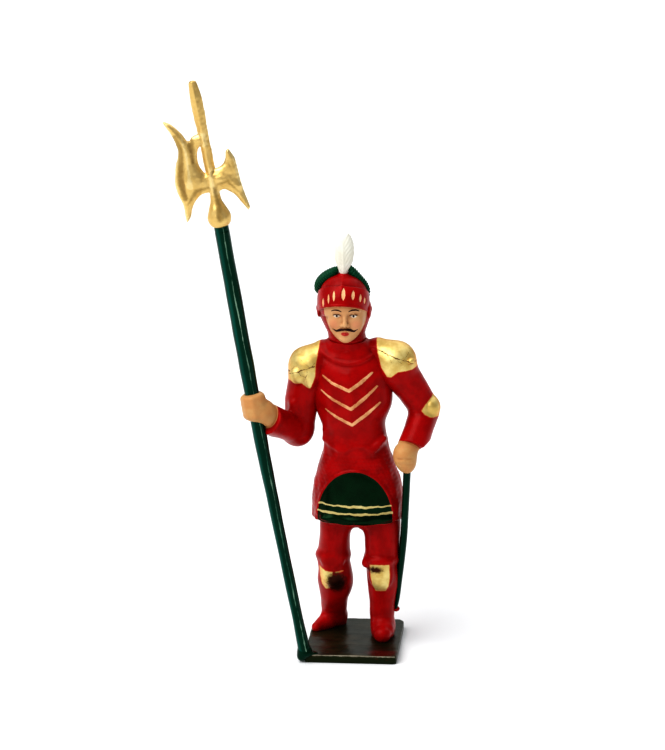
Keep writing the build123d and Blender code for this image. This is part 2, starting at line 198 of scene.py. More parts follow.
def enamel(name, ground, coats=(), stretch=(1, 1, 1), shine=0.3, coat=0.05, brush=0.4, tint=(1, 1, 1)):
    """Brushed-on enamel over cast metal. The ground and each coat hold a colour, a thinner one, and a dark
    one for the hollows, which is both pooled paint and painted shade; metallic and roughness. A coat also
    names its mark, and how ragged and soft its edge is."""
    material = bpy.data.materials.new(name)
    material.use_nodes = True
    nodes, links = material.node_tree.nodes, material.node_tree.links
    shader = nodes["Principled BSDF"]
    mapping = nodes.new("ShaderNodeMapping")
    mapping.inputs["Scale"].default_value = stretch
    links.new(nodes.new("ShaderNodeTexCoord").outputs["Object"], mapping.inputs["Vector"])
    where = mapping.outputs["Vector"]

    def fill(sockets, values):
        for socket, value in zip(sockets, values):
            if hasattr(value, "node"):
                links.new(value, socket)
            elif isinstance(value, tuple):
                socket.default_value = (*value, 1)
            else:
                socket.default_value = value

    def noise(scale, detail):
        node = nodes.new("ShaderNodeTexNoise")
        sockets = [node.inputs[k] for k in ("Vector", "Scale", "Detail", "Roughness")]
        fill(sockets, (where, scale, detail, 0.6))
        return node.outputs["Fac"]

    def ramp(value, low, high, to_low=0.0, to_high=1.0):
        node = nodes.new("ShaderNodeMapRange")
        node.interpolation_type = "SMOOTHSTEP"
        fill(node.inputs[:5], (value, low, high, to_low, to_high))
        return node.outputs["Result"]

    def mix(kind, share, a, b):
        """a and b mixed by a share. Each is a socket, a number or a colour."""
        node = nodes.new("ShaderNodeMix")
        node.data_type = kind
        first = {"FLOAT": 2, "RGBA": 6}[kind]
        fill((node.inputs[0], *node.inputs[first : first + 2]), (share, a, b))
        return node.outputs[{"FLOAT": 0, "RGBA": 2}[kind]]

    def sum_of(operation, a, b):
        node = nodes.new("ShaderNodeMath")
        node.operation = operation
        fill(node.inputs, (a, b))
        return node.outputs[0]

    def mark(attribute):
        node = nodes.new("ShaderNodeAttribute")
        node.attribute_name = attribute
        return node.outputs["Fac"]

    # The hollows take each paint's pool colour: paint pooled thick in the grooves, and painted shade in
    # creases and recesses.
    pooled_and_shaded = sum_of("ADD", mark("hollow"), sum_of("MULTIPLY", noise(900, 3), 0.05))
    pooled_and_shaded = ramp(pooled_and_shaded, 0.0, 0.18)
    cloud = ramp(noise(500, 4), 0.35, 0.65)
    fine = noise(5200, 2)
    edge = sum_of("SUBTRACT", noise(2600, 3), 0.5)
    colour = metallic = roughness = None
    for layer in (ground, *coats):
        look = dict(thin=0.5, pooling_and_shading=0.75, ragged=0.12, soft=0.03, spread=0.0)
        look.update(layer)
        tone = mix("RGBA", sum_of("MULTIPLY", cloud, look["thin"]), look["colour"], look["shade"])
        tone = mix("RGBA", sum_of("MULTIPLY", pooled_and_shaded, look["pooling_and_shading"]), tone, look["pool_and_shade"])
        rough = ramp(fine, 0.3, 0.7, look["rough"] - 0.04, look["rough"] + 0.04)
        if colour is None:
            colour, metallic, roughness = tone, look["metal"], rough
            continue
        reach = sum_of("ADD", mark(look["mark"]), sum_of("MULTIPLY", edge, look["ragged"]))
        share = ramp(sum_of("ADD", reach, look["spread"]), -look["soft"], look["soft"])
        share = sum_of("MULTIPLY", share, look.get("cover", 1.0))
        colour = mix("RGBA", share, colour, tone)
        roughness = mix("FLOAT", share, roughness, rough)
        metallic = mix("FLOAT", share, metallic, look["metal"])
    sockets = [shader.inputs[k] for k in ("Base Color", "Roughness", "Metallic")]
    fill(sockets, (colour, roughness, metallic))
    shader.inputs["Specular IOR Level"].default_value = shine
    shader.inputs["Specular Tint"].default_value = (*tint, 1)
    shader.inputs["Coat Weight"].default_value = coat
    shader.inputs["Coat Roughness"].default_value = 0.12
    bumps = nodes.new("ShaderNodeBump")
    bumps.inputs["Strength"].default_value = brush
    bumps.inputs["Distance"].default_value = 0.05 * MM
    links.new(mix("FLOAT", 0.3, noise(1500, 4), fine), bumps.inputs["Height"])
    links.new(bumps.outputs["Normal"], shader.inputs["Normal"])
    return material


def uneven(x, y, z, size, seed):
    """Gentle unevenness of about 1 either way, in bumps of about the given size."""
    chance = np.random.default_rng(seed)
    total = 0
    for _ in range(9):
        way = chance.normal(size=3)
        way = way * 2 * pi * chance.uniform(0.6, 1.4) / size / np.linalg.norm(way)
        phase = float(chance.uniform(0, 2 * pi))
        total = total + np.sin(float(way[0]) * x + float(way[1]) * y + float(way[2]) * z + phase)
    return total / 3


PLATE_X, PLATE_Y = plate_high.x / MM - 0.03, plate_high.y / MM - 0.03
plate = Clay((-PLATE_X - 0.8, -PLATE_Y - 0.8, -SOLES - 0.6), (PLATE_X + 0.8, PLATE_Y + 0.8, 0.6), 0.11)
plate.add(block((0, 0, -SOLES / 2), (PLATE_X, PLATE_Y, SOLES / 2), 0.16))
plate.cut(block((-PLATE_X, PLATE_Y, 0), (1.6, 1.6, 3), 0.1, spin=45), 1.6)
plate.cut(block((PLATE_X + 0.25, PLATE_Y + 0.25, 0), (0.75, 0.75, 3), 0.1, spin=45), 0.5)
plate.cut(block((PLATE_X + 0.45, -PLATE_Y - 0.45, 0), (0.75, 0.75, 3), 0.1, spin=45), 0.5)
plate.swell(
    lambda x, y, z: 0.035 * uneven(x, y, z, 5, 1) + 0.02 * uneven(0.6 * x, y, z, 1.6, 2),
    (-9, -11, -0.5), (9, 11, 0.6),
)


def plate_paint(x, y, z):
    """Bare metal along the top front edge, brown over green, and dark red touches at the front."""
    front = np.hypot(y + PLATE_Y - 0.05, z + 0.06)
    wander = 0.05 * np.sin(3.1 * x) + 0.04 * np.sin(7.7 * x + 1) + 0.03 * np.sin(17 * x)
    right = np.hypot(x - PLATE_X + 0.06, z + 0.06) + 0.10
    return {
        "bare": 0.13 + 0.5 * wander - np.minimum(front, right),
        "brown": 0.9 - 0.6 * abs(y + 3.5) / 6 + 0.25 * np.sin(0.9 * x) + 4 * np.minimum(z + 0.25, 0),
        "red_touch": 1.5 - np.hypot((x - 4.6) / 1.6, (y + 7.4) / 0.8),
    }


base_enamel = enamel(
    "base_enamel",
    dict(
        metal=0.0, rough=0.34,
        colour=(0.005, 0.011, 0.003), shade=(0.003, 0.007, 0.002), pool_and_shade=(0.002, 0.003, 0.001),
    ),
    [
        dict(
            mark="brown", ragged=2.2, soft=0.35, metal=0.0, rough=0.32, thin=1.0,
            colour=(0.024, 0.020, 0.008), shade=(0.006, 0.009, 0.004), pool_and_shade=(0.004, 0.003, 0.001),
        ),
        dict(
            mark="red_touch", ragged=3.5, soft=0.3, metal=0.0, rough=0.3, cover=0.6,
            colour=(0.10, 0.004, 0.004), shade=(0.04, 0.002, 0.002), pool_and_shade=(0.02, 0.002, 0.002),
        ),
        dict(
            mark="bare", ragged=0.25, metal=0.5, rough=0.4,
            colour=(0.24, 0.22, 0.17), shade=(0.12, 0.11, 0.08), pool_and_shade=(0.12, 0.11, 0.08),
        ),
    ],
    stretch=(0.35, 1, 1), shine=0.24, coat=0.02, tint=(0.7, 0.7, 0.4),
)
cast_piece("base_plate_cast", plate, "figure", ["base_plate"], base_enamel, plate_paint)


# ---- Body casting ----
# Cuirass, gorget, mail skirt with its apron, greaves and pointed boots: one casting from a two-part mould,
# painted red all over by hand, then the gold shoulders and knees, the chevrons and the banded green apron.
def line_distance(points, radii, x, y, z):
    """Distance to a bent bar whose thickness changes along its points."""
    nearest = None
    for (start, end), (start_radius, end_radius) in zip(
        zip(points, points[1:]), zip(radii, radii[1:])
    ):
        start, end = np.array(start, np.float32), np.array(end, np.float32)
        run = end - start
        away = (x - start[0], y - start[1], z - start[2])
        share = sum(a * r for a, r in zip(away, run)) / float(run @ run)
        share = np.clip(share, 0, 1)
        gap = np.sqrt(sum((a - share * r) ** 2 for a, r in zip(away, run)))
        gap = gap - (start_radius + (end_radius - start_radius) * share)
        nearest = gap if nearest is None else np.minimum(nearest, gap)
    return nearest


def roll(points, radii):
    """A rolled bar of clay through the points."""
    corners = np.array(points, float)
    widest = np.array(radii, float)[:, None]
    return (
        lambda x, y, z: line_distance(points, radii, x, y, z),
        (corners - widest).min(0),
        (corners + widest).max(0),
    )


def tipped(away, nod, lean):
    """Turns offsets by -nod about X, then -lean about Y, in degrees."""
    x, y, z = away
    c, s = cos(radians(nod)), sin(radians(nod))
    y, z = c * y + s * z, c * z - s * y
    c, s = cos(radians(lean)), sin(radians(lean))
    return c * x - s * z, y, c * z + s * x


def lump(centre, half, nod=0, lean=0):
    """An egg-shaped lump of clay, nodding about X and leaning about Y by some degrees."""
    reach = max(half)

    def distance(x, y, z):
        away = tipped((x - centre[0], y - centre[1], z - centre[2]), nod, lean)
        near = np.sqrt(sum((a / h) ** 2 for a, h in zip(away, half)))
        steep = np.sqrt(sum((a / h**2) ** 2 for a, h in zip(away, half)))
        return near * (near - 1) / np.maximum(steep, 1e-4)

    middle = np.array(centre, float)
    return distance, middle - reach, middle + reach


def flowing(places, values, at):
    """A smooth line through the values at the places, level past both ends."""
    places, values = np.array(places, float), np.array(values, float)
    slope = np.gradient(values, places)
    at = np.clip(at, places[0], places[-1])
    k = np.clip(np.searchsorted(places, at, side="right") - 1, 0, len(places) - 2)
    width = places[k + 1] - places[k]
    t = (at - places[k]) / width
    left = (1 + 2 * t) * (1 - t) ** 2 * values[k] + t * (1 - t) ** 2 * width * slope[k]
    right = t**2 * (3 - 2 * t) * values[k + 1] + t**2 * (t - 1) * width * slope[k + 1]
    return left + right


def stack(stations, bottom_round=0.3, top_round=0.3, squareness=2.0):
    """Level ovals stacked from the lowest: height, x, y, half width, half depth."""
    table = np.array(stations, float)
    heights = table[:, 0]

    def distance(x, y, z):
        level = np.asarray(z, np.float32)
        cx, cy, hx, hy = (
            flowing(heights, table[:, column], level).astype(np.float32) for column in (1, 2, 3, 4)
        )
        u, v = abs(x - cx) / hx, abs(y - cy) / hy
        near = (u**squareness + v**squareness) ** (1 / squareness)
        near = np.maximum(near, 0.05)
        steep = np.sqrt(
            (u ** (squareness - 1) / hx) ** 2 + (v ** (squareness - 1) / hy) ** 2
        ) / near ** (squareness - 1)
        side = (near - 1) / np.maximum(steep, 0.05)
        side = -soft_least(-side, -(heights[0] - level + 0 * side), bottom_round)
        return -soft_least(-side, -(level - heights[-1] + 0 * side), top_round)

    widest = table[:, 3:5].max(0)
    low = np.array([(table[:, 1]).min() - widest[0], table[:, 2].min() - widest[1], heights[0]])
    high = np.array([(table[:, 1]).max() + widest[0], table[:, 2].max() + widest[1], heights[-1]])
    return distance, low, high


def outline_distance(corners, x, z):
    """Distance to a closed outline in the XZ plane, below 0 inside it."""
    nearest, inside = None, False
    for (ax, az), (bx, bz) in zip(corners, corners[1:] + corners[:1]):
        px, pz, ex, ez = x - ax, z - az, bx - ax, bz - az
        share = np.clip((px * ex + pz * ez) / (ex * ex + ez * ez), 0, 1)
        gap = (px - share * ex) ** 2 + (pz - share * ez) ** 2
        nearest = gap if nearest is None else np.minimum(nearest, gap)
        inside = inside ^ (((az > z) != (bz > z)) & (px < ex * pz / (ez or 1e-9)))
    return np.where(inside, -1, 1) * np.sqrt(nearest)


def curve(points, steps=6):
    """Points along a smooth line through the given ones."""
    at = np.linspace(0, len(points) - 1, steps * (len(points) - 1) + 1)
    columns = [flowing(range(len(points)), column, at) for column in zip(*points)]
    return [tuple(point) for point in np.stack(columns, 1)]


def bell(offset, width):
    """1 in the middle, falling smoothly to nothing past the width."""
    return np.exp(-((offset / width) ** 2))


def step(value, low, high):
    """0 below low, 1 above high, smooth between."""
    share = np.clip((value - low) / (high - low), 0, 1)
    return share * share * (3 - 2 * share)


SEAM_SLOPE = radians(19)
SHOULDERS = {
    -1: dict(
        seam=(-6.9, 44.35),
        forms=[
            lump((-6.95, 0.1, 43.3), (3.3, 3.25, 3.3)),
            lump((-6.9, 0.1, 44.25), (3.1, 3.1, 2.55)),
            roll([(-7.2, 0.1, 44.1), (-4.8, 0.2, 45.85)], [2.7, 2.05]),
        ],
        hairlines=[
            [(-5.5, 0, 45.5), (-6.0, 0, 45.1), (-6.5, 0, 44.5)],
            [(-6.7, 0, 44.4), (-7.3, 0, 44.9), (-7.7, 0, 45.1), (-8.2, 0, 45.6)],
            [(-7.2, 0, 44.2), (-7.1, 0, 43.4), (-7.4, 0, 42.9), (-7.2, 0, 42.1)],
            [(-7.4, 0, 42.9), (-8.1, 0, 43.2), (-8.6, 0, 43.9)],
        ],
        gold=[
            (-5.2, 49.5), (-5.5, 47.3), (-5.85, 45.0), (-5.95, 43.0), (-6.68, 41.1), (-7.3, 41.35),
            (-7.9, 41.85), (-10.0, 41.9), (-11.9, 42.1), (-11.9, 49.5),
        ],
    ),
    1: dict(
        seam=(6.1, 46.35),
        forms=[
            lump((6.15, 0.1, 44.4), (3.3, 3.25, 3.3)),
            lump((6.0, 0.1, 45.35), (3.15, 3.1, 2.55)),
            roll([(6.3, 0.1, 45.2), (3.5, 0.2, 46.35)], [2.7, 2.1]),
        ],
        hairlines=[
            [(5.0, 0, 46.7), (5.6, 0, 46.1), (5.8, 0, 45.5)],
            [(6.6, 0, 46.2), (6.9, 0, 45.7), (7.4, 0, 45.4)],
            [(7.6, 0, 45.8), (8.2, 0, 46.5), (8.4, 0, 46.9)],
        ],
        gold=[
            (3.0, 50.5), (3.3, 49.0), (3.6, 46.9), (4.25, 44.6), (5.15, 43.2), (5.75, 43.2),
            (6.8, 44.1), (8.9, 44.2), (9.7, 44.4), (11.9, 44.6), (11.9, 50.5),
        ],
    ),
}


def over_seam(side, x, z):
    """How far a point lies over a shoulder's seam, where the arm casting meets the body's."""
    seam_x, seam_z = SHOULDERS[side]["seam"]
    return side * sin(SEAM_SLOPE) * (x - seam_x) + cos(SEAM_SLOPE) * (z - seam_z)


def press_pauldron(clay, side, part):
    """Presses a shoulder guard on: its part over the seam (1) or under it (-1)."""
    for distance, low, high in SHOULDERS[side]["forms"]:
        clay.add(
            (
                lambda x, y, z, d=distance: -soft_least(
                    -d(x, y, z), part * over_seam(side, x, z) - 0.03 + 0 * y, 0.12
                ),
                low, high,
            ),
            0.6,
        )


def shoulder_gold(side, x, y, z):
    """Distance inside the gold painted on a shoulder guard."""
    return -outline_distance(SHOULDERS[side]["gold"], x, z)


def shoulder_crack(side, x, y, z):
    """The gold paint is split along the seam, and crazed round it in hairlines."""
    wander = 0.03 * np.sin(5 * x + 2 * y) + 0.02 * np.sin(11 * x)
    split = 0.055 + 0.02 * np.sin(3 * x + 1) - abs(over_seam(side, x, z) + wander)
    for hairline in SHOULDERS[side]["hairlines"]:
        split = np.maximum(split, -line_distance(hairline, [0.03] * len(hairline), x, 0 * y, z))
    return np.minimum(split, shoulder_gold(side, x, y, z) - 0.1)


def chevrons(x, z):
    """Distance inside the three raised chevrons of the breastplate."""
    marks = [
        [(-4.75, 43.25), (-3.3, 42.35), (-0.6, 41.35), (2.85, 43.95)],
        [(-4.95, 40.95), (-3.2, 39.75), (-0.3, 38.4), (3.6, 41.8)],
        [(-4.3, 38.0), (-2.6, 36.9), (-0.15, 35.75), (4.05, 39.15)],
    ]
    widths = [0.12, 0.22, 0.26]
    nearest = None
    for left, middle, centre, right in marks:
        halfway = ((centre[0] + right[0]) / 2, (centre[1] + right[1]) / 2 - 0.1)
        path = [(px, 0, pz) for px, pz in (left, middle, centre, halfway, right)]
        gap = line_distance(path, [*widths, 0.29, 0.17], x, 0 * x, z)
        nearest = gap if nearest is None else np.minimum(nearest, gap)
    return -nearest


def arch(x, z):
    """Distance inside the apron's round top."""
    u, v = (x - 0.2) / 5.8, np.maximum(z - 20.3, 0) / 7.8
    near = np.sqrt(u * u + v * v) + 1e-6
    return (1 - near) * near / np.sqrt((u / 5.8) ** 2 + (v / 7.8) ** 2 + 1e-6)


def apron(x, y, z):
    """Distance inside the green apron, whose hem waves a little."""
    hem = 20.2 + 0.06 * np.cos(1.85 * (x - 0.6))
    return np.minimum(np.minimum(arch(x, z), z - hem + 0.5), -y - 0.5)


LEFT_KNEE = [
    (2.45, 12.5), (3.4, 12.65), (5.45, 12.6), (5.5, 10.4), (5.3, 9.0), (4.85, 8.1), (3.3, 8.05),
    (2.85, 9.2), (2.6, 10.6),
]
RIGHT_KNEE = [
    (-5.5, 11.4), (-4.5, 10.9), (-3.4, 10.8), (-3.5, 9.3), (-3.9, 7.8), (-4.55, 7.5), (-5.1, 8.3),
    (-5.4, 9.7),
]

figure = Clay((-10.9, -6.0, -0.8), (10.1, 8.4, 48.9), 0.12)
figure.add(stack([
    (19.55, 0.35, 0.3, 6.9, 4.85), (20.6, 0.35, 0.3, 6.95, 4.95), (22.5, 0.4, 0.3, 7.0, 4.95),
    (25.5, 0.4, 0.2, 6.65, 4.55), (28.5, 0.3, 0.1, 5.8, 4.1), (31.0, 0.25, 0.0, 5.05, 3.65),
    (33.4, 0.05, 0.0, 4.65, 3.5), (34.6, -0.05, 0.0, 4.6, 3.5),
], 0.35, 0.3, 2.15))
figure.add(stack([
    (30.5, 0.2, 0.0, 5.05, 3.68), (33.3, 0.0, 0.0, 4.72, 3.6), (35.2, -0.3, 0.0, 5.0, 3.85),
    (38.0, -0.3, -0.05, 6.0, 4.15), (41.5, -0.5, -0.05, 6.1, 4.3), (44.0, -0.55, 0.05, 5.9, 3.95),
    (45.8, -0.65, 0.15, 5.2, 3.35), (47.1, -0.95, 0.2, 4.0, 2.95), (48.3, -1.2, 0.1, 2.98, 2.95),
], 0.3, 0.12, 2.1), 0.2)
figure.add(roll([(-4.8, 0.2, 45.75), (-3.8, 0.2, 45.95)], [1.95, 1.8]), 0.3)
figure.add(roll([(3.4, 0.2, 46.2), (2.1, 0.2, 46.25)], [1.95, 1.75]), 0.3)
for side in SHOULDERS:
    press_pauldron(figure, side, 1)

# The scalloped lower edge of the fauld, with the belt's crease at the left hip.
FAULD = curve([
    (-7, 33.0), (-4.9, 32.3), (-3.96, 31.7), (-1.5, 30.9), (-0.3, 31.6), (0.7, 31.85), (1.9, 31.65),
    (3.1, 31.2), (4.5, 31.9), (7, 33.2),
])
fauld_x, fauld_z = zip(*FAULD)


def cuirass_relief(x, y, z):
    """The fauld's scalloped plate, the keel, the gorget's rolled edge and the raised chevrons."""
    front = step(-y, 0.2, 1.4)
    edge = z - np.interp(x, fauld_x, fauld_z).astype(np.float32)
    lame = 0.14 * step(edge, -0.45, 0.4) * step(2.4 - edge, 0, 2.0) + 0.07 * bell(edge - 0.3, 0.3)
    keel_x = -0.35 - 0.045 * (z - 38)
    keel = 0.30 * bell(x - keel_x, 1.3) * step(z, 33, 36.5) * step(45.2 - z, 0, 1.5)
    rim = 45.35 + 0.075 * (x + 0.9) ** 2 - 0.5 * step(y, -2, 2)
    gorget = 0.20 * bell(z - rim, 0.30) * step(4.3 - abs(x + 0.9), 0, 0.7)
    gorget = gorget - 0.04 * bell(z - rim + 0.55, 0.35) * step(4.3 - abs(x + 0.9), 0, 0.7)
    strips = 0.09 * step(chevrons(x, z), -0.10, 0.06)
    return front * (lame + keel + strips) + gorget + (1 - front) * 0.5 * lame


figure.swell(cuirass_relief, (-9, -6, 29.5), (9, 6, 48))
figure.add(roll([(4.75, -2.0, 33.0), (3.9, -2.9, 32.3), (3.0, -3.35, 31.3)], [0.15, 0.2, 0.1]), 1.2)
figure.add(roll([(-4.4, -1.7, 34.0), (-4.6, -1.5, 32.6)], [0.3, 0.2]), 1.2)


MAIL_PITCH = 0.62


def skirt_relief(x, y, z):
    """Rows of mail, and the apron's raised rim and sunk field."""
    inside = apron(x, y, z)
    front = step(-y, 0.3, 1.2)
    odd_row = np.round(z / MAIL_PITCH) % 2
    across = np.sin((x + 0.31 * odd_row) * 2 * pi / MAIL_PITCH + 0.3 * y)
    rings = np.sin(z * 2 * pi / MAIL_PITCH) * 0.5 + across * 0.5
    mail = 0.022 * rings * step(0.3 - inside, 0, 0.4) * step(31.2 - z, 0, 1.0)
    dents = 0.05 * uneven(x, y, z, 1.8, 3) * step(0.3 - inside, 0, 0.4)
    rim = 0.17 * bell(inside + 0.16, 0.19) * step(z, 20.4, 21.0)
    return mail + dents + front * rim - 0.06 * front * step(inside, 0.0, 0.2)


figure.swell(skirt_relief, (-9, -6, 19.0), (9, 7, 32.5))
for hem_x, hem_z, half in ((-2.5, 20.4, 2.6), (0.7, 20.3, 2.2), (3.6, 20.45, 2.4)):
    figure.add(lump((hem_x, -4.2 + 0.08 * (hem_x - 0.5) ** 2, hem_z), (half, 0.75, 0.5)), 0.8)

RIGHT_LEG = [
    (-0.2, -3.3, 6.7, 1.4, 1.35), (1.4, -3.45, 6.0, 1.65, 1.65), (3.0, -3.6, 5.1, 1.95, 1.85),
    (4.8, -3.5, 4.1, 2.1, 2.1), (6.6, -3.25, 3.3, 2.5, 2.3), (8.8, -3.2, 2.4, 2.75, 2.5),
    (10.5, -3.25, 2.0, 2.6, 2.45), (12.0, -3.4, 1.6, 2.5, 2.4), (14.4, -3.3, 1.2, 2.42, 2.45),
    (17.1, -3.1, 0.8, 2.4, 2.5), (21.5, -2.7, 0.4, 2.5, 2.6),
]
LEFT_LEG = [
    (-0.2, 4.2, 1.5, 1.6, 1.9), (1.6, 4.15, 1.4, 1.65, 1.85), (3.6, 4.15, 1.3, 1.9, 1.9),
    (5.7, 4.2, 1.2, 2.04, 2.0), (7.5, 4.27, 1.0, 2.3, 2.2), (10.1, 4.3, 0.6, 2.5, 2.4),
    (12.0, 4.15, 0.35, 2.5, 2.4), (14.5, 4.2, 0.25, 2.65, 2.5), (17.45, 4.25, 0.2, 2.78, 2.6),
    (21.5, 4.2, 0.2, 2.7, 2.6),
]
figure.add(stack(RIGHT_LEG, 0.2, 0.2, 2.1), 0.12)
figure.add(stack(LEFT_LEG, 0.2, 0.2, 2.1), 0.12)
figure.add(lump((0.6, 0.4, 20.0), (1.3, 2.3, 2.1)), 1.9)
figure.add(lump((-3.5, 1.3, 13.0), (2.6, 2.6, 1.1), nod=-6), 0.7)
figure.add(lump((-3.4, -0.5, 12.5), (1.7, 0.75, 1.0)), 0.5)
figure.add(lump((-3.4, -0.1, 10.5), (1.6, 0.9, 2.2)), 0.9)
figure.add(lump((4.15, 0.2, 13.0), (2.75, 2.65, 1.0)), 0.7)
figure.add(lump((1.75, -0.5, 12.3), (0.7, 1.0, 0.75)), 0.5)
figure.add(lump((4.1, -1.9, 13.1), (1.9, 0.75, 0.6)), 0.5)
figure.add(lump((4.1, -1.5, 10.8), (1.8, 0.8, 2.4)), 0.9)
figure.add(lump((-3.3, 3.9, 7.6), (2.1, 2.1, 3.0)), 0.8)
figure.add(lump((4.2, 1.9, 7.9), (1.9, 2.0, 3.0)), 0.8)
figure.add(roll([(-3.2, 6.4, 1.3), (-4.6, 4.5, 0.95), (-6.1, 2.8, 0.45)], [1.35, 1.4, 0.85]), 1.1)
figure.add(roll([(4.3, 1.9, 1.3), (4.4, -0.3, 1.3), (4.4, -1.6, 1.05)], [1.8, 1.75, 1.35]), 0.9)
figure.cut(block((0, 0, -2.1), (14, 14, 2), 0.0))
figure.swell(lambda x, y, z: 0.03 * uneven(x, y, z, 3.5, 4), (-10.8, -5.9, 0.3), (10, 8.3, 46))
neck_recess = stack([(46.4, -1.2, 0.1, 2.74, 2.74), (49.5, -1.2, 0.1, 2.74, 2.74)], 0.02, 0.02)
figure.cut(neck_recess, 0.1)


def figure_paint(x, y, z):
    """Gold shoulders and knees, chevrons, the banded apron, dark patches on the knees and cracked gold."""
    inside = apron(x, y, z)
    wave = 0.05 * np.sin(2.3 * x) + 0.03 * np.sin(5.1 * x + 1)
    left = -outline_distance(LEFT_KNEE, x, z)
    right = -outline_distance(RIGHT_KNEE, x, z)
    edge = -line_distance([(-2.9, 0, 10.75), (-1.8, 0, 10.9)], [0.08, 0.05], x, 0 * x, z)
    knees = np.minimum(np.maximum(np.maximum(left, right), edge), 1.6 - y)
    gold = np.maximum(shoulder_gold(-1, x, y, z), shoulder_gold(1, x, y, z))
    low = np.minimum(1.45 - np.hypot((x + 2.85) / 1.0, (z - 8.9) / 1.25), 2.2 - y)
    high = np.minimum(0.85 - np.hypot((x - 3.2) / 1.3, (z - 11.75) / 0.6), 0.5 - y)
    bands = np.maximum(
        0.17 - abs(z - 22.62 - wave + 0.012 * x) + 0.05 * np.sin(0.8 * x + 1),
        0.17 - abs(z - 21.42 + 0.8 * wave + 0.006 * x) + 0.04 * np.sin(1.3 * x),
    )
    return {
        "gold": np.maximum(gold, knees),
        "stripe": np.minimum(chevrons(x, z), -y - 1),
        "green": inside - 0.02,
        "band": np.minimum(bands, np.minimum(inside + 0.12, -y - 0.8)),
        "stain": np.maximum(low, high),
        "crack": np.maximum(shoulder_crack(-1, x, y, z), shoulder_crack(1, x, y, z)),
    }


# Each paint's pool colour goes in the hollows, as pooled paint and as painted shade.
RED = dict(
    metal=0.0, rough=0.36, thin=0.65,
    colour=(0.38, 0.003, 0.004), shade=(0.23, 0.0012, 0.0016), pool_and_shade=(0.06, 0.0004, 0.0006),
)
RED_SHINE = (1.0, 0.22, 0.2)
GOLD = dict(
    mark="gold", metal=0.6, rough=0.42, ragged=0.18, thin=0.8,
    colour=(0.80, 0.66, 0.28), shade=(0.58, 0.40, 0.11), pool_and_shade=(0.26, 0.13, 0.025),
)
GOLD_RIM = dict(GOLD, colour=(0.62, 0.17, 0.05), shade=(0.52, 0.10, 0.04), metal=0.3, spread=0.10)
CRACK = dict(
    mark="crack", metal=0.0, rough=0.6, ragged=0.10,
    colour=(0.10, 0.035, 0.008), shade=(0.05, 0.02, 0.005), pool_and_shade=(0.03, 0.01, 0.002),
)
GREEN = dict(
    mark="green", metal=0.8, rough=0.30, ragged=0.10,
    colour=(0.0005, 0.026, 0.009), shade=(0.0004, 0.014, 0.006), pool_and_shade=(0.0003, 0.005, 0.002),
)
figure_enamel = enamel("red_enamel", RED, [
    GOLD_RIM,
    GOLD,
    dict(
        GOLD, mark="stripe", metal=0.4, rough=0.4, ragged=0.22, thin=0.9,
        colour=(0.80, 0.46, 0.24), shade=(0.50, 0.20, 0.08), pool_and_shade=(0.30, 0.09, 0.03),
    ),
    GREEN,
    dict(
        GOLD, mark="band", metal=0.5, ragged=0.12,
        colour=(0.66, 0.56, 0.26), shade=(0.52, 0.42, 0.16), pool_and_shade=(0.3, 0.2, 0.06),
    ),
    # Near-black patches painted over the right knee plate and the top of the left one.
    dict(
        mark="stain", metal=0.1, rough=0.4, ragged=1.2, soft=0.45, thin=0.45,
        colour=(0.012, 0.004, 0.002), shade=(0.06, 0.016, 0.004), pool_and_shade=(0.008, 0.003, 0.002),
    ),
    CRACK,
], tint=RED_SHINE)
cast_piece("body_cast", figure, "figure", ["body_casting"], figure_enamel, figure_paint)


# ---- Right arm ----
# Cast apart and soldered under the right shoulder guard on a wire pin. A wide gauntlet cuff, and a
# bare hand closed round the halberd, with a bore through it for the shaft.
SHAFT_FOOT = np.array([plate_low.x / MM + 0.05, plate_low.y / MM + 0.45, 0.0])
RIGHT_GRIP = np.array([-14.6, -7.0, 39.3])
SHAFT_WAY = (RIGHT_GRIP - SHAFT_FOOT) / np.linalg.norm(RIGHT_GRIP - SHAFT_FOOT)
SHAFT_LENGTH = 68.6
SHAFT_BOW = 0.35
ACROSS = np.cross([0, 1, 0], SHAFT_WAY) / np.linalg.norm(np.cross([0, 1, 0], SHAFT_WAY))
OUTWARD = np.cross(SHAFT_WAY, ACROSS)


def on_shaft(points):
    """Points given across, out from and along the bowed shaft, in the figure's own directions."""
    points = np.atleast_2d(points)
    bow = SHAFT_BOW * np.sin(pi * np.clip(points[:, 2] / SHAFT_LENGTH, 0, 1))
    sideways = np.outer(points[:, 0] - bow, ACROSS)
    return SHAFT_FOOT + sideways + np.outer(points[:, 1], OUTWARD) + np.outer(points[:, 2], SHAFT_WAY)


def behind(point, way, reach):
    """Everything up to reach behind a plane at point, looking along way."""
    way = np.array(way) / np.linalg.norm(way)
    centre = np.array(point, float)
    return (
        lambda x, y, z: sum(w * (p - c) for w, p, c in zip(way, (x, y, z), centre)),
        centre - reach,
        centre + reach,
    )


right_arm = Clay((-17.6, -10.4, 30.3), (-3.0, 4.2, 48.9), 0.1)
forearm_way = (-0.52, -0.72, 0.46)
RIGHT_CUFF = (-13.45, -6.25, 37.0)
right_arm.add(roll([(-8.8, -0.7, 33.6), (-10.4, -3.0, 35.0), (-12.9, -6.5, 37.2)], [2.25, 2.15, 2.4]))
right_arm.add(roll([(-12.6, -4.4, 34.9), (-13.4, -5.4, 35.3)], [0.9, 0.55]), 0.9)
right_arm.cut(behind(RIGHT_CUFF, [-w for w in forearm_way], 5), 0.25)
right_arm.add(roll([(-7.1, 0.1, 43.0), (-8.2, -0.1, 38.4), (-8.5, -0.4, 34.6)], [2.95, 2.6, 2.3]), 0.7)
right_arm.add(lump((-8.9, -0.5, 33.5), (2.35, 2.3, 2.35)), 0.8)
right_arm.add(roll([(-9.4, -2.3, 38.4), (-9.2, -2.2, 37.4)], [0.45, 0.5]), 1.0)
press_pauldron(right_arm, -1, -1)
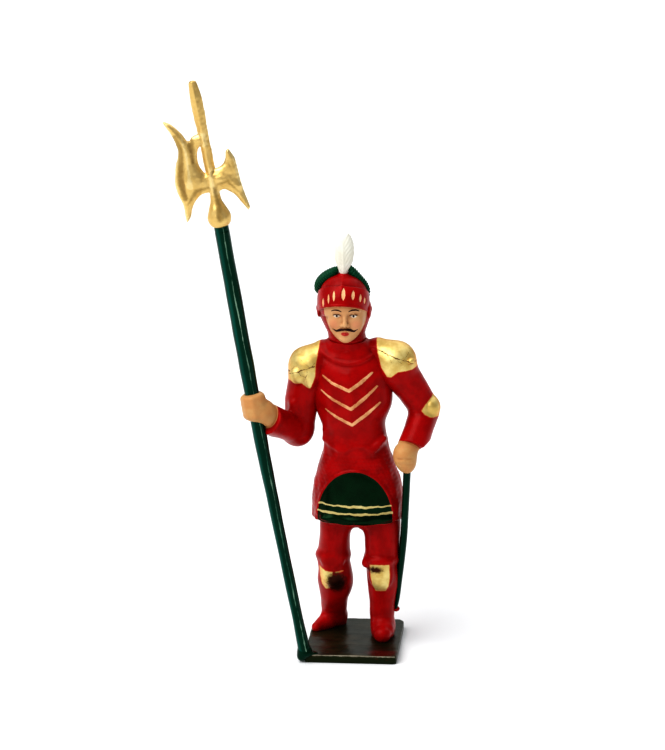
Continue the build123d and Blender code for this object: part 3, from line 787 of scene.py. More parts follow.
right_arm.add(lump((-8.6, -2.2, 43.0), (1.35, 1.2, 1.5)), 0.12)
right_arm.add(lump((-6.75, -2.6, 42.5), (0.95, 0.8, 1.6)), 0.2)
right_arm.cut(roll([(-7.75, -3.6, 44.0), (-7.7, -3.45, 41.4)], [0.16, 0.14]), 0.15)
hand = Clay(right_arm.low, (-3.0, 4.2, 48.9), 0.1)
hand.add(roll([(-12.3, -5.5, 36.9), (-13.6, -6.6, 38.3)], [1.75, 1.95]))
grip_along = float(np.linalg.norm(RIGHT_GRIP - SHAFT_FOOT))
hand.add(roll(on_shaft([
    (0.15, -0.1, grip_along - 0.5), (0.1, -0.1, grip_along + 1.0),
]), [1.95, 1.85]), 0.6)
for rise in (1.6, 0.7, -0.2, -1.1):
    turns = np.radians((150, 195, 235, 275, 315, 345))
    path = [on_shaft((1.38 * cos(t), 1.6 * sin(t), grip_along + rise))[0] for t in turns]
    hand.add(roll(path, [0.45, 0.52, 0.55, 0.55, 0.52, 0.45]), 0.5)
hand.add(roll([(-12.9, -7.2, 37.3), (-13.4, -8.0, 38.2)], [0.9, 0.7]), 0.6)
hand.cut(behind(on_shaft((0, 0, grip_along + 2.3))[0], -SHAFT_WAY, 3.5), 0.5)
hand.cut(roll([on_shaft((0, 0, a))[0] for a in (34, 37, 40, 43, 46)], [1.14] * 5), 0.08)
skin_distance = hand.distance
right_arm.distance = soft_least(right_arm.distance, skin_distance, 0.12)


def right_arm_paint(x, y, z):
    """Gold on the shoulder, and flesh on the hand up to the gauntlet's cuff."""
    points = np.stack([x, y, z], 1)
    cuff = sum(w * (p - c) for w, p, c in zip(forearm_way, (x, y, z), RIGHT_CUFF))
    return {
        "gold": shoulder_gold(-1, x, y, z),
        "skin": np.minimum(0.18 - right_arm.sample(skin_distance, points), cuff + 0.35),
        "crack": shoulder_crack(-1, x, y, z),
    }


SKIN = dict(
    mark="skin", metal=0.0, rough=0.42, ragged=0.10,
    colour=(0.54, 0.322, 0.135), shade=(0.52, 0.22, 0.08), pool_and_shade=(0.32, 0.10, 0.03),
)
right_arm_enamel = enamel("right_arm_enamel", RED, [GOLD_RIM, GOLD, SKIN, CRACK], tint=RED_SHINE)
cast_piece(
    "right_arm_cast", right_arm, "figure", ["right_arm"],
    right_arm_enamel, right_arm_paint,
)


# ---- Left arm ----
# The arm set on the hip, soldered on a wire pin too. Gold elbow guard, faceted forearm with a flared cuff,
# and a bare hand resting on the sword.
left_arm = Clay((2.3, -6.4, 27.0), (13.9, 4.6, 49.9), 0.1)
left_way = (-0.25, -0.65, -0.72)
LEFT_CUFF = (9.0, -2.95, 31.9)
left_arm.add(roll([(10.5, 1.0, 36.2), (9.75, -1.0, 34.0), (8.9, -3.2, 31.6)], [2.3, 2.2, 2.35]))
left_arm.add(roll([(10.3, -0.8, 33.2), (10.6, -1.3, 32.4)], [1.2, 0.85]), 0.8)
left_arm.cut(behind(LEFT_CUFF, [-w for w in left_way], 5), 0.2)
left_arm.cut(behind((11.4, -1.8, 32.5), (-0.62, 0.1, 0.78), 2.6), 0.25)
left_arm.add(roll([(11.3, -0.6, 36.0), (10.85, -1.8, 33.6)], [0.7, 0.35]), 0.7)
left_arm.add(roll([(6.4, 0.1, 43.7), (8.7, 0.7, 40.3), (10.35, 1.1, 37.5)], [2.95, 2.5, 2.3]), 0.6)
left_arm.add(lump((10.7, 1.2, 37.1), (2.2, 2.2, 2.1)), 0.6)
left_arm.add(lump((11.75, 0.6, 37.7), (1.3, 1.85, 1.65), lean=-25), 0.18)
press_pauldron(left_arm, 1, -1)
left_arm.add(lump((8.75, -2.2, 45.6), (0.55, 0.6, 0.55)), 0.2)
left_hand = Clay(left_arm.low, (13.9, 4.6, 49.9), 0.1)
left_hand.add(lump((7.9, -3.65, 30.85), (1.8, 1.85, 2.2), lean=-6))
left_hand.add(lump((8.25, -3.55, 29.5), (1.25, 1.35, 1.5)), 0.9)
left_hand.add(roll([(8.55, -2.9, 32.0), (8.1, -3.4, 31.0)], [1.55, 1.5]), 0.5)
for fall in (0.0, 0.95, 1.85):
    left_hand.cut(roll([
        (6.3, -5.0, 30.6 - fall), (8.0, -5.6, 30.85 - fall), (9.6, -4.9, 30.7 - fall),
    ], [0.06] * 3), 0.4)
left_skin = left_hand.distance
left_arm.distance = soft_least(left_arm.distance, left_skin, 0.12)

COUTER = [
    (10.35, 37.4), (10.95, 38.35), (12.0, 39.5), (14.0, 39.6), (14.0, 36.0), (12.8, 36.1),
    (11.8, 36.35), (10.8, 36.85),
]


def left_arm_paint(x, y, z):
    """Gold on the shoulder and the elbow guard, and flesh on the hand up to the cuff."""
    points = np.stack([x, y, z], 1)
    cuff = sum(w * (p - c) for w, p, c in zip(left_way, (x, y, z), LEFT_CUFF))
    return {
        "gold": np.maximum(shoulder_gold(1, x, y, z), -outline_distance(COUTER, x, z)),
        "skin": np.minimum(0.18 - left_arm.sample(left_skin, points), cuff + 0.35),
        "crack": shoulder_crack(1, x, y, z),
    }


left_arm_enamel = enamel("left_arm_enamel", RED, [GOLD_RIM, GOLD, SKIN, CRACK], tint=RED_SHINE)
cast_piece(
    "left_arm_cast", left_arm, "figure", ["left_arm"],
    left_arm_enamel, left_arm_paint,
)


# ---- Shoulder pins ----
# Two short brass wire pins inside the shoulder guards, one for each arm. They are set before the
# soldering, and nothing of them shows.
BRASS = dict(
    metal=1.0, rough=0.35,
    colour=(0.62, 0.42, 0.16), shade=(0.5, 0.32, 0.1), pool_and_shade=(0.3, 0.18, 0.05),
)
brass = enamel("pin_brass", BRASS)
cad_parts["shoulder_pins"].data.materials.clear()
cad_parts["shoulder_pins"].data.materials.append(brass)


# ---- Head casting ----
# Mail coif, face and close helmet with its visor raised, cast apart on a round plug that turns in
# the collar. Red, with gold sights in the visor; the face is painted over the modelled features.
head = Clay((-6.7, -5.6, 46.1), (3.6, 5.3, 59.9), 0.065)
head.add(stack([
    (46.5, -1.2, 0.1, 2.68, 2.68), (48.1, -1.2, 0.1, 2.68, 2.68), (48.5, -1.22, 0.1, 2.85, 2.9),
    (49.3, -1.35, 0.25, 2.88, 2.95), (50.5, -1.48, 0.6, 3.35, 3.3), (51.8, -1.6, 0.8, 3.85, 3.55),
    (53.2, -1.72, 0.7, 4.0, 3.8), (54.6, -1.8, 0.5, 3.9, 3.9),
], 0.05, 0.3))
helmet = lump((-1.82, 0.25, 54.35), (3.85, 4.35, 4.5))


def helmet_form(x, y, z):
    """The helmet's egg, cut off below by a plane that drops towards the nape."""
    return -soft_least(-helmet[0](x, y, z), z - 51.9 + 0.25 * y + 0 * x, 0.4)


head.add((helmet_form, *helmet[1:]), 0.1)
face = stack([
    (48.75, -1.22, -2.35, 0.95, 1.25), (49.3, -1.22, -2.05, 1.55, 1.75), (50.0, -1.24, -1.75, 2.1, 2.1),
    (51.0, -1.26, -1.4, 2.6, 2.45), (52.0, -1.28, -1.15, 2.9, 2.7), (53.2, -1.3, -0.95, 3.08, 2.85),
    (54.4, -1.32, -0.8, 3.15, 2.95), (55.6, -1.35, -0.7, 3.1, 2.9),
], 0.5, 0.3, 2.15)
head.add(face, 0.15)
MID = -1.27
EYE_OUT, EYE_HIGH = 1.28, 53.0
for way in (-1, 1):
    eye_x = MID + way * EYE_OUT
    head.cut(lump((eye_x, -4.15, EYE_HIGH + 0.05), (0.85, 0.62, 0.46)), 0.45)
    head.add(lump((eye_x, -3.05, EYE_HIGH), (0.62, 0.62, 0.5)), 0.05)
    head.add(roll([
        (eye_x - 0.62, -3.35, EYE_HIGH + 0.05), (eye_x, -3.66, EYE_HIGH + 0.34),
        (eye_x + 0.62, -3.35, EYE_HIGH + 0.05),
    ], [0.08, 0.12, 0.08]), 0.10)
    head.add(roll([
        (eye_x - 0.55, -3.35, EYE_HIGH - 0.15), (eye_x, -3.58, EYE_HIGH - 0.33),
        (eye_x + 0.55, -3.35, EYE_HIGH - 0.15),
    ], [0.06, 0.09, 0.06]), 0.12)
    head.add(roll([
        (MID + way * 0.45, -3.72, 53.6), (eye_x, -3.66, 53.95), (MID + way * 2.15, -3.1, 53.75),
    ], [0.18, 0.26, 0.16]), 0.4)
    head.add(lump((MID + way * 1.65, -2.95, 51.75), (0.95, 0.75, 0.85)), 0.9)
    head.add(lump((MID + way * 0.42, -3.95, 51.62), (0.30, 0.36, 0.28)), 0.2)
    head.add(roll([
        (MID + way * 0.1, -3.98, 50.95), (MID + way * 0.75, -3.8, 50.88),
        (MID + way * 1.35, -3.45, 50.62), (MID + way * 1.85, -3.05, 50.85),
    ], [0.16, 0.24, 0.17, 0.07]), 0.15)
head.add(roll([(MID, -3.75, 53.5), (MID, -4.25, 52.2), (MID, -4.5, 51.85)], [0.26, 0.32, 0.40]), 0.35)
head.add(roll([
    (MID - 0.6, -3.66, 50.42), (MID, -3.86, 50.5), (MID + 0.6, -3.66, 50.42),
], [0.1, 0.19, 0.1]), 0.1)
head.add(roll([
    (MID - 0.5, -3.62, 50.08), (MID, -3.82, 50.02), (MID + 0.5, -3.62, 50.08),
], [0.12, 0.22, 0.12]), 0.12)
head.cut(roll([
    (MID - 0.6, -3.95, 50.27), (MID, -4.15, 50.27), (MID + 0.6, -3.95, 50.27),
], [0.05, 0.06, 0.05]), 0.08)
head.cut(lump((MID, -4.2, 49.72), (0.8, 0.35, 0.16)), 0.3)
head.add(lump((MID + 0.02, -3.35, 49.25), (0.72, 0.55, 0.45)), 0.5)

# The raised visor turns on two bosses, so its lower edge runs in a plane down to them.
VISOR_SLOPE = 0.52


def visor_rise(y, z):
    """How far a point lies over the visor's lower edge."""
    return (z - 54.85 + VISOR_SLOPE * (y + 4.6)) / np.hypot(1, VISOR_SLOPE)


def visor_form(x, y, z):
    """The visor: a band of a slightly larger egg than the helmet's, open at the back."""
    shell = lump((-1.82, 0.1, 54.5), (4.03, 4.7, 4.45))[0](x, y, z)
    band = np.maximum(-visor_rise(y, z), visor_rise(y, z) - 3.2) + 0 * x
    side = -soft_least(-shell, -band, 0.12)
    return -soft_least(-side, 0.9 - y + 0 * side, 0.3)


head.add((visor_form, (-6.2, -4.9, 50.5), (3.0, 1.2, 59)), 0.05)
SIGHTS = [
    (-4.72, 54.95, 1.2, 0.15), (-3.84, 55.75, 1.3, 0.14), (-3.0, 56.3, 1.4, 0.20),
    (-1.55, 56.6, 1.65, 0.30), (-0.08, 56.35, 1.25, 0.24), (1.0, 55.7, 1.05, 0.17),
    (1.6, 55.1, 0.85, 0.12),
]


def sights(x, z):
    """Distance inside the lens-shaped sights of the visor."""
    nearest = None
    for sight_x, sight_z, tall, half in SIGHTS:
        path = [(sight_x + 0.02, 0, sight_z + share * tall) for share in (0.5, 0.25, -0.05, -0.3, -0.5)]
        gap = line_distance(path, [0.02, 0.75 * half, half, 0.75 * half, 0.05], x, 0 * x, z)
        nearest = gap if nearest is None else np.minimum(nearest, gap)
    return -nearest


def helmet_relief(x, y, z):
    """The visor's turned lip and sunk sights, the helmet's low comb and the coif's mail."""
    rise = visor_rise(y, z)
    front = step(-y, -0.6, 0.4)
    lip = 0.10 * bell(rise - 0.12, 0.16) * front
    sunk = -0.09 * step(sights(x, z), -0.12, 0.05) * step(-y, 1.0, 1.6)
    comb = 0.10 * bell(x + 1.8, 0.35) * step(z, 56.5, 58)
    rings = np.sin(z * 2 * pi / 0.5) + np.sin((x + y) * 2 * pi / 0.55)
    mail = 0.014 * rings * step(51.6 - z, 0, 0.4)
    return lip + sunk + comb + mail * step(y, -2.6, -2.0)


head.swell(helmet_relief, (-6.6, -5.5, 47), (3.5, 5.2, 59.5))
for way in (-1, 1):
    boss_x = -1.72 + way * 3.85
    head.add(lump((boss_x, 0.3, 52.9), (0.36, 1.1, 1.25)), 0.3)
    head.add(lump((boss_x + way * 0.24, 0.3, 53.1), (0.22, 0.4, 0.4)), 0.15)
head.add(roll([
    (-4.9, 2.2, 51.4), (-3.4, 3.7, 51.0), (-1.7, 4.15, 50.8), (0.0, 3.7, 51.0), (1.5, 2.2, 51.4),
], [0.2] * 5), 0.5)
head.add(lump((-1.8, -0.4, 58.6), (0.75, 0.7, 0.5)), 0.3)
head.cut(roll([(-1.8, -0.4, 58.0), (-1.8, -0.4, 61)], [0.38, 0.38]), 0.05)


def head_paint(x, y, z):
    """Where the flesh, the painted features and the gold sights go."""
    off = abs(x - MID)
    eye = off - EYE_OUT
    flesh = [
        (-4.7, 55.8), (-4.55, 53.2), (-4.25, 51.6), (-3.7, 50.2), (-3.05, 49.35), (-2.2, 48.75),
        (-1.27, 48.5), (-0.35, 48.75), (0.5, 49.35), (1.15, 50.2), (1.75, 51.6), (2.0, 53.2),
        (2.1, 55.8),
    ]
    skin = np.minimum(-outline_distance(flesh, x, z), np.minimum(-1.0 - y, -0.03 - visor_rise(y, z)))
    white = 0.17 * (1 - np.hypot(eye / 0.5, (z - EYE_HIGH) / 0.19))
    pupil = 0.17 - np.hypot(eye, z - EYE_HIGH - 0.02)
    lash_z = EYE_HIGH + 0.27 - 0.45 * eye**2
    lash = np.minimum(0.075 - abs(z - lash_z), 0.62 - abs(eye))
    brow_z = 53.78 + 0.30 * (1 - ((eye - 0.05) / 0.85) ** 2)
    brow = np.minimum(0.12 - 0.05 * abs(eye + 0.1) - abs(z - brow_z), 0.8 - abs(eye - 0.05))
    tips = [(0.0, 0, 50.98), (0.75, 0, 50.9), (1.35, 0, 50.62), (1.9, 0, 50.9)]
    moustache = -line_distance(tips, [0.13, 0.23, 0.15, 0.06], off, 0 * x, z)
    lips = 0.25 * (1 - np.hypot(off / 0.62, (z - 50.22) / 0.34))
    front = -2.2 - y
    return {
        "skin": skin,
        "blush": np.minimum(0.75 - np.hypot(off - 1.75, z - 51.7), front),
        "white": np.minimum(white, front),
        "lips": np.minimum(lips, front),
        "black": np.minimum(np.maximum(np.maximum(pupil, lash), np.maximum(brow, moustache)), front),
        "gold": np.minimum(np.minimum(sights(x, z), -1.2 - y), visor_rise(y, z)),
    }


FACE = dict(SKIN, colour=(0.62, 0.37, 0.185), shade=(0.56, 0.28, 0.125), pool_and_shade=(0.36, 0.14, 0.055))
head_enamel = enamel("head_enamel", RED, [
    FACE,
    dict(FACE, mark="blush", colour=(0.62, 0.20, 0.12), shade=(0.58, 0.18, 0.10), soft=0.5, cover=0.45),
    dict(
        mark="white", metal=0.0, rough=0.4, ragged=0.05,
        colour=(0.72, 0.66, 0.55), shade=(0.66, 0.58, 0.46), pool_and_shade=(0.4, 0.3, 0.2),
    ),
    dict(
        mark="lips", metal=0.0, rough=0.35, ragged=0.06,
        colour=(0.45, 0.04, 0.03), shade=(0.38, 0.03, 0.03), pool_and_shade=(0.2, 0.01, 0.01),
    ),
    dict(
        mark="black", metal=0.0, rough=0.35, ragged=0.08, soft=0.025,
        colour=(0.006, 0.005, 0.005), shade=(0.012, 0.010, 0.009), pool_and_shade=(0.003, 0.003, 0.003),
    ),
    dict(
        GOLD, metal=0.2, ragged=0.08,
        colour=(0.92, 0.62, 0.34), shade=(0.84, 0.44, 0.22), pool_and_shade=(0.6, 0.28, 0.12),
    ),
], tint=RED_SHINE)
cast_piece("head_cast", head, "head", ["head_casting"], head_enamel, head_paint)


# ---- White plume ----
# A flat leaf-shaped feather, cast with a peg that sits in a hole in the helmet's top.
# Cream white, thickly brushed on.
plume = Clay((-4.0, -2.2, 57.4), (0.5, 1.4, 66.4), 0.07)
plume.add(stack([
    (58.6, -1.8, -0.4, 0.40, 0.42), (59.3, -1.78, -0.4, 0.72, 0.6), (60.1, -1.72, -0.4, 1.10, 0.75),
    (61.2, -1.68, -0.4, 1.42, 0.85), (62.5, -1.65, -0.4, 1.5, 0.9), (63.8, -1.55, -0.4, 1.3, 0.8),
    (64.7, -1.42, -0.4, 0.85, 0.6), (65.3, -1.35, -0.4, 0.45, 0.4),
], 0.15, 0.3, 1.9))
plume.add(roll([(-1.8, -0.4, 57.7), (-1.8, -0.4, 59.0)], [0.34, 0.36]), 0.1)


def barbs(x, y, z):
    """Slanting grooves either side of the feather's quill."""
    off = abs(x + 1.75 + 0.03 * (z - 62))
    groove = 0.025 * np.sin((z - 1.5 * off) * 2 * pi / 0.85 + 0.6 * np.sin(2.1 * z) + 0 * y)
    return groove * step(off, 0.1, 0.4) + 0.07 * bell(off, 0.16) * step(64.6 - z, 0, 1)


plume.swell(barbs, (-3.9, -2.1, 59.2), (0.4, 1.3, 65.6))
CREAM = dict(
    metal=0.0, rough=0.45, pooling_and_shading=0.5,
    colour=(0.80, 0.78, 0.68), shade=(0.72, 0.68, 0.55), pool_and_shade=(0.48, 0.46, 0.36),
)
plume_white = enamel("white_enamel", CREAM)
cast_piece("plume_cast", plume, "head", ["white_plume"], plume_white)


# ---- Green crest ----
# Two feathers that curl down either side of the helmet, cast in the same metal and soldered on.
# Dark green over thick barbs.
crest = Clay((-7.2, -1.6, 53.6), (3.9, 4.6, 61.2), 0.075)
FEATHERS = [
    [
        (-2.85, -0.3, 59.5), (-3.45, 0.1, 58.85), (-4.6, 0.6, 57.9), (-5.4, 1.2, 56.8),
        (-5.7, 1.8, 55.75), (-5.5, 2.3, 54.9),
    ],
    [
        (-0.7, -0.3, 59.85), (-0.4, 0.1, 58.95), (0.45, 0.4, 58.05), (1.3, 0.9, 56.95),
        (1.75, 1.5, 55.8), (1.8, 2.1, 54.8),
    ],
]
THICKNESSES = [[0.42, 0.74, 0.84, 0.82, 0.66, 0.42], [0.3, 0.68, 0.58, 0.5, 0.42, 0.28]]
for path, thickness in zip(FEATHERS, THICKNESSES):
    crest.add(roll(curve(path, 3), flowing(range(6), thickness, np.linspace(0, 5, 16))))
crest.swell(
    lambda x, y, z: 0.07 * np.sin((1.3 * abs(x + 1.7) - 1.1 * z + 0.5 * y) * 2 * pi / 0.8),
    (-7.1, -1.5, 53.7), (3.8, 4.5, 61.1),
)
FEATHER_GREEN = dict(
    metal=0.0, rough=0.32,
    colour=(0.002, 0.060, 0.024), shade=(0.001, 0.028, 0.012), pool_and_shade=(0.0005, 0.007, 0.003),
)
crest_green = enamel("crest_green", FEATHER_GREEN, tint=(0.3, 0.8, 0.5))
cast_piece("crest_cast", crest, "head", ["green_crest"], crest_green)


# ---- Halberd shaft ----
# A thin rod, tenoned into the halberd's head at the top and soldered to the plate's corner.
# Dark glossy green, with the mould line left along its front.
shaft = Clay((-1.7, -1.7, -0.4), (1.7, 1.7, 70.4), 0.105)
shaft.add(stack([
    (0.0, 0.0, 0.0, 1.05, 1.0), (1.2, 0.0, 0.0, 0.95, 0.95), (4.0, 0.0, 0.0, 0.88, 0.9),
    (20.0, 0.0, 0.0, 0.88, 0.9), (33.0, 0.0, 0.0, 1.0, 1.0), (41.0, 0.0, 0.0, 1.13, 1.1),
    (69.4, 0.0, 0.0, 1.13, 1.1),
], 0.1, 0.1, 2.0))


MOULD_LINE_X = 0.38


def wandering(z):
    """How far the mould line strays to the side on its way up the rod."""
    return 0.10 * np.sin(0.13 * z) + 0.03 * np.sin(0.9 * z)


def rod_relief(x, y, z):
    """The mould line, and the slight unevenness of a hand-filed rod."""
    line = 0.06 * bell(x - MOULD_LINE_X + wandering(z), 0.10) * step(-y, 0.3, 0.6)
    return line + 0.025 * uneven(x, y, z, 6, 7)


shaft.swell(rod_relief, (-1.6, -1.6, 1), (1.6, 1.6, 68))
SHAFT_GREEN = dict(
    metal=0.0, rough=0.2,
    colour=(0.0006, 0.017, 0.007), shade=(0.0004, 0.009, 0.004), pool_and_shade=(0.0003, 0.003, 0.0015),
)
GREEN_SHINE = (0.1, 0.62, 0.42)
# A teal painted highlight streak down the rod, left of the mould line.
SHAFT_HIGHLIGHT = dict(
    mark="streak", metal=0.0, rough=0.2, ragged=0.3, soft=0.2,
    colour=(0.001, 0.060, 0.046), shade=(0.0006, 0.030, 0.022), pool_and_shade=(0.0005, 0.012, 0.009),
)
# A pale line painted along the mould line.
PALE_LINE = dict(
    mark="worn", metal=0.1, rough=0.35, ragged=0.25, soft=0.05, thin=1.0,
    colour=(0.30, 0.42, 0.32), shade=(0.04, 0.12, 0.08), pool_and_shade=(0.02, 0.05, 0.03),
)


def shaft_paint(x, y, z):
    """A pale line along the mould line, and a painted highlight streak beside it."""
    wander = wandering(z)
    pale_width = 0.05 + 0.03 * np.sin(0.7 * z)
    return {
        "worn": np.minimum(pale_width - abs(x - MOULD_LINE_X + wander), -0.2 - y),
        "streak": np.minimum(0.22 - abs(x + 0.62 - 0.3 * wander), 0.1 - y),
    }


shaft_green = enamel(
    "shaft_green", SHAFT_GREEN, [SHAFT_HIGHLIGHT, PALE_LINE],
    stretch=(1, 1, 0.25), shine=0.4, coat=0.04, tint=GREEN_SHINE,
)
cast_piece(
    "shaft_rod", shaft, "figure", ["halberd_shaft"],
    shaft_green, shaft_paint, on_shaft,
)


# ---- Halberd head ----
# Axe blade, fluke, spike and onion-shaped socket, cast flat in one and soldered on the shaft.
# Gold paint all over, with brown painted into the grooves as shade and painted highlights along the rims
# and the ridge.
blade = (
    curve([(-0.2, 5.7), (-0.9, 5.75), (-2.2, 5.55), (-3.5, 4.2), (-4.25, 2.6), (-4.95, 1.6)])
    + curve([
        (-5.1, 1.8), (-5.1, 4.4), (-5.65, 6.6), (-5.65, 8.6), (-5.15, 10.5), (-4.45, 12.2),
        (-4.35, 13.5), (-4.8, 15.5), (-5.85, 17.7),
    ])
    + curve([(-5.6, 17.85), (-4.5, 17.2), (-3.4, 15.8), (-2.65, 14.3)])
    + curve([(-2.3, 14.25), (-1.7, 14.85), (-0.6, 15.1), (0.1, 15.0)])
    + curve([(0.1, 13.5), (-0.85, 13.1), (-1.45, 12.0), (-1.5, 10.4), (-0.95, 9.1), (-0.1, 8.5)])
)
fluke = (
    curve([(0.0, 9.4), (1.0, 9.4), (2.0, 9.8), (2.55, 10.7), (2.8, 11.7), (3.2, 12.15)])
    + curve([(3.45, 12.05), (4.1, 10.3), (4.25, 7.7), (4.55, 5.1), (5.0, 2.5)])
    + curve([(4.6, 2.1), (3.8, 3.5), (2.9, 5.0), (1.7, 5.9), (0.8, 5.75), (0.0, 5.7)])
)


def cut_out(outline, thick, thin_reach):
    """A flat casting of an outline, thickest in its middle and thin at its edges."""

    def distance(x, y, z):
        flat = outline_distance(outline, x, z)
        half = thick * (1 - np.exp(np.minimum(flat, 0) / thin_reach)) + 0.16
        side = (abs(y) - half) * 0.8
        return -soft_least(-side, -flat + 0 * y, 0.22)

    xs, zs = zip(*outline)
    return distance, (min(xs), -1.2, min(zs)), (max(xs), 1.2, max(zs))


halberd = Clay((-6.8, -2.3, -0.6), (6.0, 2.3, 25.2), 0.085)
halberd.add(cut_out(blade, 0.62, 0.55))
halberd.add(cut_out(fluke, 0.55, 0.5))
halberd.add(lump((-3.3, -0.35, 8.0), (1.5, 0.75, 2.2), lean=8), 0.6)
LONG_GROOVE = curve([
    (-4.35, -1.0, 15.2), (-3.9, -1.0, 13.2), (-4.2, -1.0, 10.8), (-4.7, -1.0, 8.4), (-4.5, -1.0, 5.6),
])
groove_radii = flowing(range(5), [0.25, 0.5, 0.6, 0.55, 0.3], np.linspace(0, 4, 25))
halberd.cut(roll(LONG_GROOVE, groove_radii), 0.35)
SHORT_GROOVE = [(-2.1, -0.85, 14.2), (-2.1, -0.85, 12.6), (-2.2, -0.75, 11.0)]
halberd.cut(roll(SHORT_GROOVE, [0.45, 0.48, 0.25]), 0.3)
halberd.cut(roll([(3.2, -0.8, 11.4), (3.2, -0.75, 9.6)], [0.2, 0.1]), 0.25)
halberd.cut(roll([(3.9, -0.8, 5.4), (4.5, -0.7, 3.0)], [0.2, 0.12]), 0.2)
halberd.add(roll([(0.9, -0.2, 7.7), (2.6, -0.25, 7.4), (3.7, -0.2, 6.2)], [0.65, 0.55, 0.35]), 0.6)
halberd.add(stack([
    (0.35, 0.0, 0.0, 1.3, 1.3), (1.0, 0.0, 0.0, 1.68, 1.62), (1.8, 0.0, 0.0, 1.8, 1.72),
    (3.0, 0.0, 0.0, 1.45, 1.4), (4.4, 0.0, 0.0, 0.9, 0.95), (6.0, 0.0, 0.0, 0.72, 0.8),
    (8.6, 0.0, 0.0, 0.8, 0.85),
], 0.3, 0.3, 2.0), 0.3)
halberd.add(stack([
    (4.5, 0.0, 0.0, 0.80, 0.85), (14.0, 0.0, 0.0, 0.80, 0.82), (22.2, -0.05, 0.0, 0.76, 0.75),
    (23.4, -0.1, 0.0, 0.56, 0.52),
], 0.2, 0.35, 1.3), 0.12)
halberd.cut(roll([(0.25, -1.95, 4.0), (0.35, -2.0, 2.2), (0.1, -1.9, 1.2)], [0.25, 0.36, 0.15]), 0.45)
halberd.swell(
    lambda x, y, z: 0.03 * uneven(x, y, z, 2.2, 5) + 0.01 * uneven(x, y, z, 0.8, 6),
    (-6.7, -2.2, -0.5), (5.9, 2.2, 25),
)


def on_shaft_top(points):
    """Points given across, out from and over the shaft's top."""
    sideways = np.outer(points[:, 0], ACROSS) + np.outer(points[:, 1], OUTWARD)
    return SHAFT_FOOT + sideways + np.outer(points[:, 2] + SHAFT_LENGTH, SHAFT_WAY)


def halberd_paint(x, y, z):
    """Brown painted shade in the grooves, brown towards the blade's foot and down the socket, and painted
    highlights on the rims and the ridge.
    """
    grooves = np.minimum(
        line_distance(LONG_GROOVE, np.full(25, 0.42), x, -1.0 + 0 * y, z),
        line_distance(SHORT_GROOVE, [0.5, 0.45, 0.25], x, -0.85 + 0 * y, z),
    )
    foot = line_distance([(-4.3, 0, 4.6), (-2.6, 0, 6.5), (-0.8, 0, 6.7)], [0.2, 0.5, 0.3], x, 0 * x, z)
    tail = line_distance([(0.9, 0, 7.0), (2.4, 0, 7.3), (3.7, 0, 5.4)], [0.3, 0.4, 0.2], x, 0 * x, z)
    foot = np.minimum(foot, tail) + 0.15
    socket = line_distance([(0.15, 0, 6.5), (0.3, 0, 3.6), (0.3, 0, 1.8)], [0.2, 0.38, 0.45], x, 0 * x, z)
    ridge = line_distance([
        (-3.4, 0, 16.0), (-3.1, 0, 12.5), (-3.2, 0, 9.5), (-3.4, 0, 7.4),
    ], [0.1, 0.2, 0.15, 0.5], x, 0 * x, z)
    rims = 0.30 - abs(np.minimum(outline_distance(blade, x, z), outline_distance(fluke, x, z)))
    return {
        "brown": np.minimum(-np.minimum(np.minimum(grooves, foot), socket), -y),
        "bright": np.minimum(np.maximum(rims, -ridge), -y),
    }


halberd_gold = enamel(
    "halberd_gold",
    dict(
        metal=0.85, rough=0.40, pooling_and_shading=0.9,
        colour=(0.78, 0.56, 0.22), shade=(0.66, 0.43, 0.13), pool_and_shade=(0.20, 0.10, 0.02),
    ),
    [
        # Painted highlights along the rims and the ridge.
        dict(
            mark="bright", ragged=0.5, soft=0.15, metal=0.8, rough=0.35, cover=0.6,
            colour=(0.95, 0.78, 0.42), shade=(0.85, 0.64, 0.28), pool_and_shade=(0.5, 0.3, 0.1),
        ),
        # Brown painted shade in the grooves, and brown at the blade's foot and on the socket.
        dict(
            mark="brown", ragged=0.4, soft=0.26, metal=0.6, rough=0.45, cover=0.72,
            colour=(0.34, 0.21, 0.05), shade=(0.20, 0.12, 0.025), pool_and_shade=(0.10, 0.05, 0.01),
        ),
    ],
    shine=0.5,
)
cast_piece(
    "halberd_cast", halberd, "figure", ["halberd_head"],
    halberd_gold, halberd_paint, on_shaft_top,
)


# ---- Sword in its scabbard ----
# A flat cast bar hanging from the left hand, its tip soldered to the left boot.
# The same dark glossy green as the shaft.
scabbard = Clay((5.4, -5.0, 3.2), (9.9, 2.6, 29.6), 0.09)
middle_line = curve([
    (8.5, -3.4, 28.6), (8.1, -1.9, 21.2), (7.85, -1.0, 17.2), (7.45, -0.2, 13.3), (7.0, 0.5, 9.4),
    (6.7, 1.0, 6.3), (6.5, 1.3, 4.5),
], 4)
scabbard_radii = flowing(range(7), [0.58, 0.56, 0.56, 0.56, 0.52, 0.42, 0.22], np.linspace(0, 6, 25))
for way in (-0.22, 0.22):
    scabbard.add(roll([(x - 0.22, y + way, z) for x, y, z in middle_line], scabbard_radii), 0.1)
scabbard_green = enamel("scabbard_green", SHAFT_GREEN, stretch=(1, 1, 0.4), coat=0.04, tint=GREEN_SHINE)
cast_piece("scabbard_cast", scabbard, "figure", ["sword_scabbard"], scabbard_green)


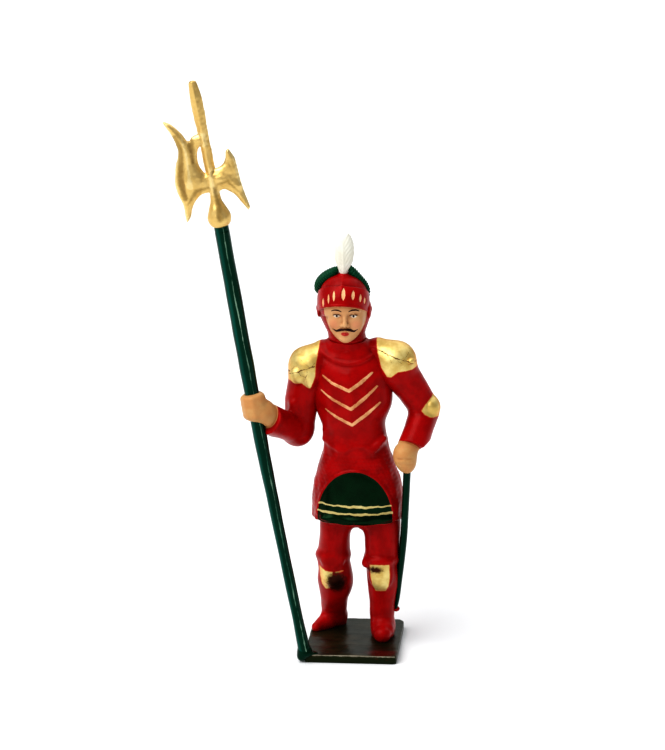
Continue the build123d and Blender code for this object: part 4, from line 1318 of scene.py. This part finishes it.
# ---- Shaft foot solder ----
# The bead of solder that holds the shaft's foot to the plate's corner,
# with the green paint run down over it.
bead = Clay((-9.6, -9.7, -1.28), (-4.6, -6.4, 2.9), 0.08)
bead.add(lump((-7.1, -8.45, 0.15), (1.2, 1.1, 0.85)))
bead.add(lump((-7.55, -8.55, -0.45), (0.75, 0.8, 0.75)), 0.4)
bead.add(lump((-6.4, -8.1, 0.02), (1.3, 0.9, 0.22)), 0.3)
bead.add(lump((-7.2, -8.4, 0.8), (1.05, 1.0, 0.9)), 0.4)
bead_green = enamel("bead_green", SHAFT_GREEN, coat=0.04, tint=GREEN_SHINE)
cast_piece("shaft_foot_bead", bead, "figure", ["shaft_foot_solder"], bead_green)


# ---- Scabbard tip solder ----
# The drop of solder that holds the scabbard's tip against the left boot,
# painted red with the leg.
drop = Clay((5.0, -0.2, 3.0), (8.0, 2.9, 5.6), 0.07)
drop.add(lump((6.25, 1.35, 4.3), (0.6, 0.45, 0.45)))
drop_red = enamel("drop_red", RED, tint=RED_SHINE)
cast_piece("scabbard_tip_drop", drop, "figure", ["scabbard_tip_solder"], drop_red)


# ---- Table and light ----
# A plain pale table under a big soft light from the upper left, with a weaker one from behind,
# in a dim room.
REACH = 6.0
table_mesh = bpy.data.meshes.new("table")
corners = [(-REACH, -REACH, 0), (REACH, -REACH, 0), (REACH, REACH, 0), (-REACH, REACH, 0)]
table_mesh.from_pydata(corners, [], [(0, 1, 2, 3)])
table = bpy.data.objects.new("table", table_mesh)
bpy.context.scene.collection.objects.link(table)
pale = bpy.data.materials.new("pale_table")
pale.use_nodes = True
pale.node_tree.nodes["Principled BSDF"].inputs["Base Color"].default_value = (0.85, 0.86, 0.865, 1)
pale.node_tree.nodes["Principled BSDF"].inputs["Roughness"].default_value = 0.8
table_mesh.materials.append(pale)


def soft_light(name, way, strength, spread):
    """A broad far light shining along way."""
    lamp = bpy.data.lights.new(name, "SUN")
    lamp.energy, lamp.angle = strength, radians(spread)
    holder = bpy.data.objects.new(name, lamp)
    bpy.context.scene.collection.objects.link(holder)
    holder.rotation_euler = (-Vector(way)).to_track_quat("Z", "Y").to_euler()


soft_light("light_upper_left", (0.5, 0.42, -0.76), 2.25, 60)
soft_light("light_above_behind", (-0.1, -0.5, -0.85), 0.9, 80)
world = bpy.data.worlds.new("surroundings")
world.use_nodes = True
world.node_tree.nodes["Background"].inputs["Color"].default_value = (0.96, 0.98, 1.0, 1)
world.node_tree.nodes["Background"].inputs["Strength"].default_value = 0.27
bpy.context.scene.world = world
bpy.context.scene.view_settings.view_transform = "Standard"
bpy.context.scene.view_settings.look = "High Contrast"
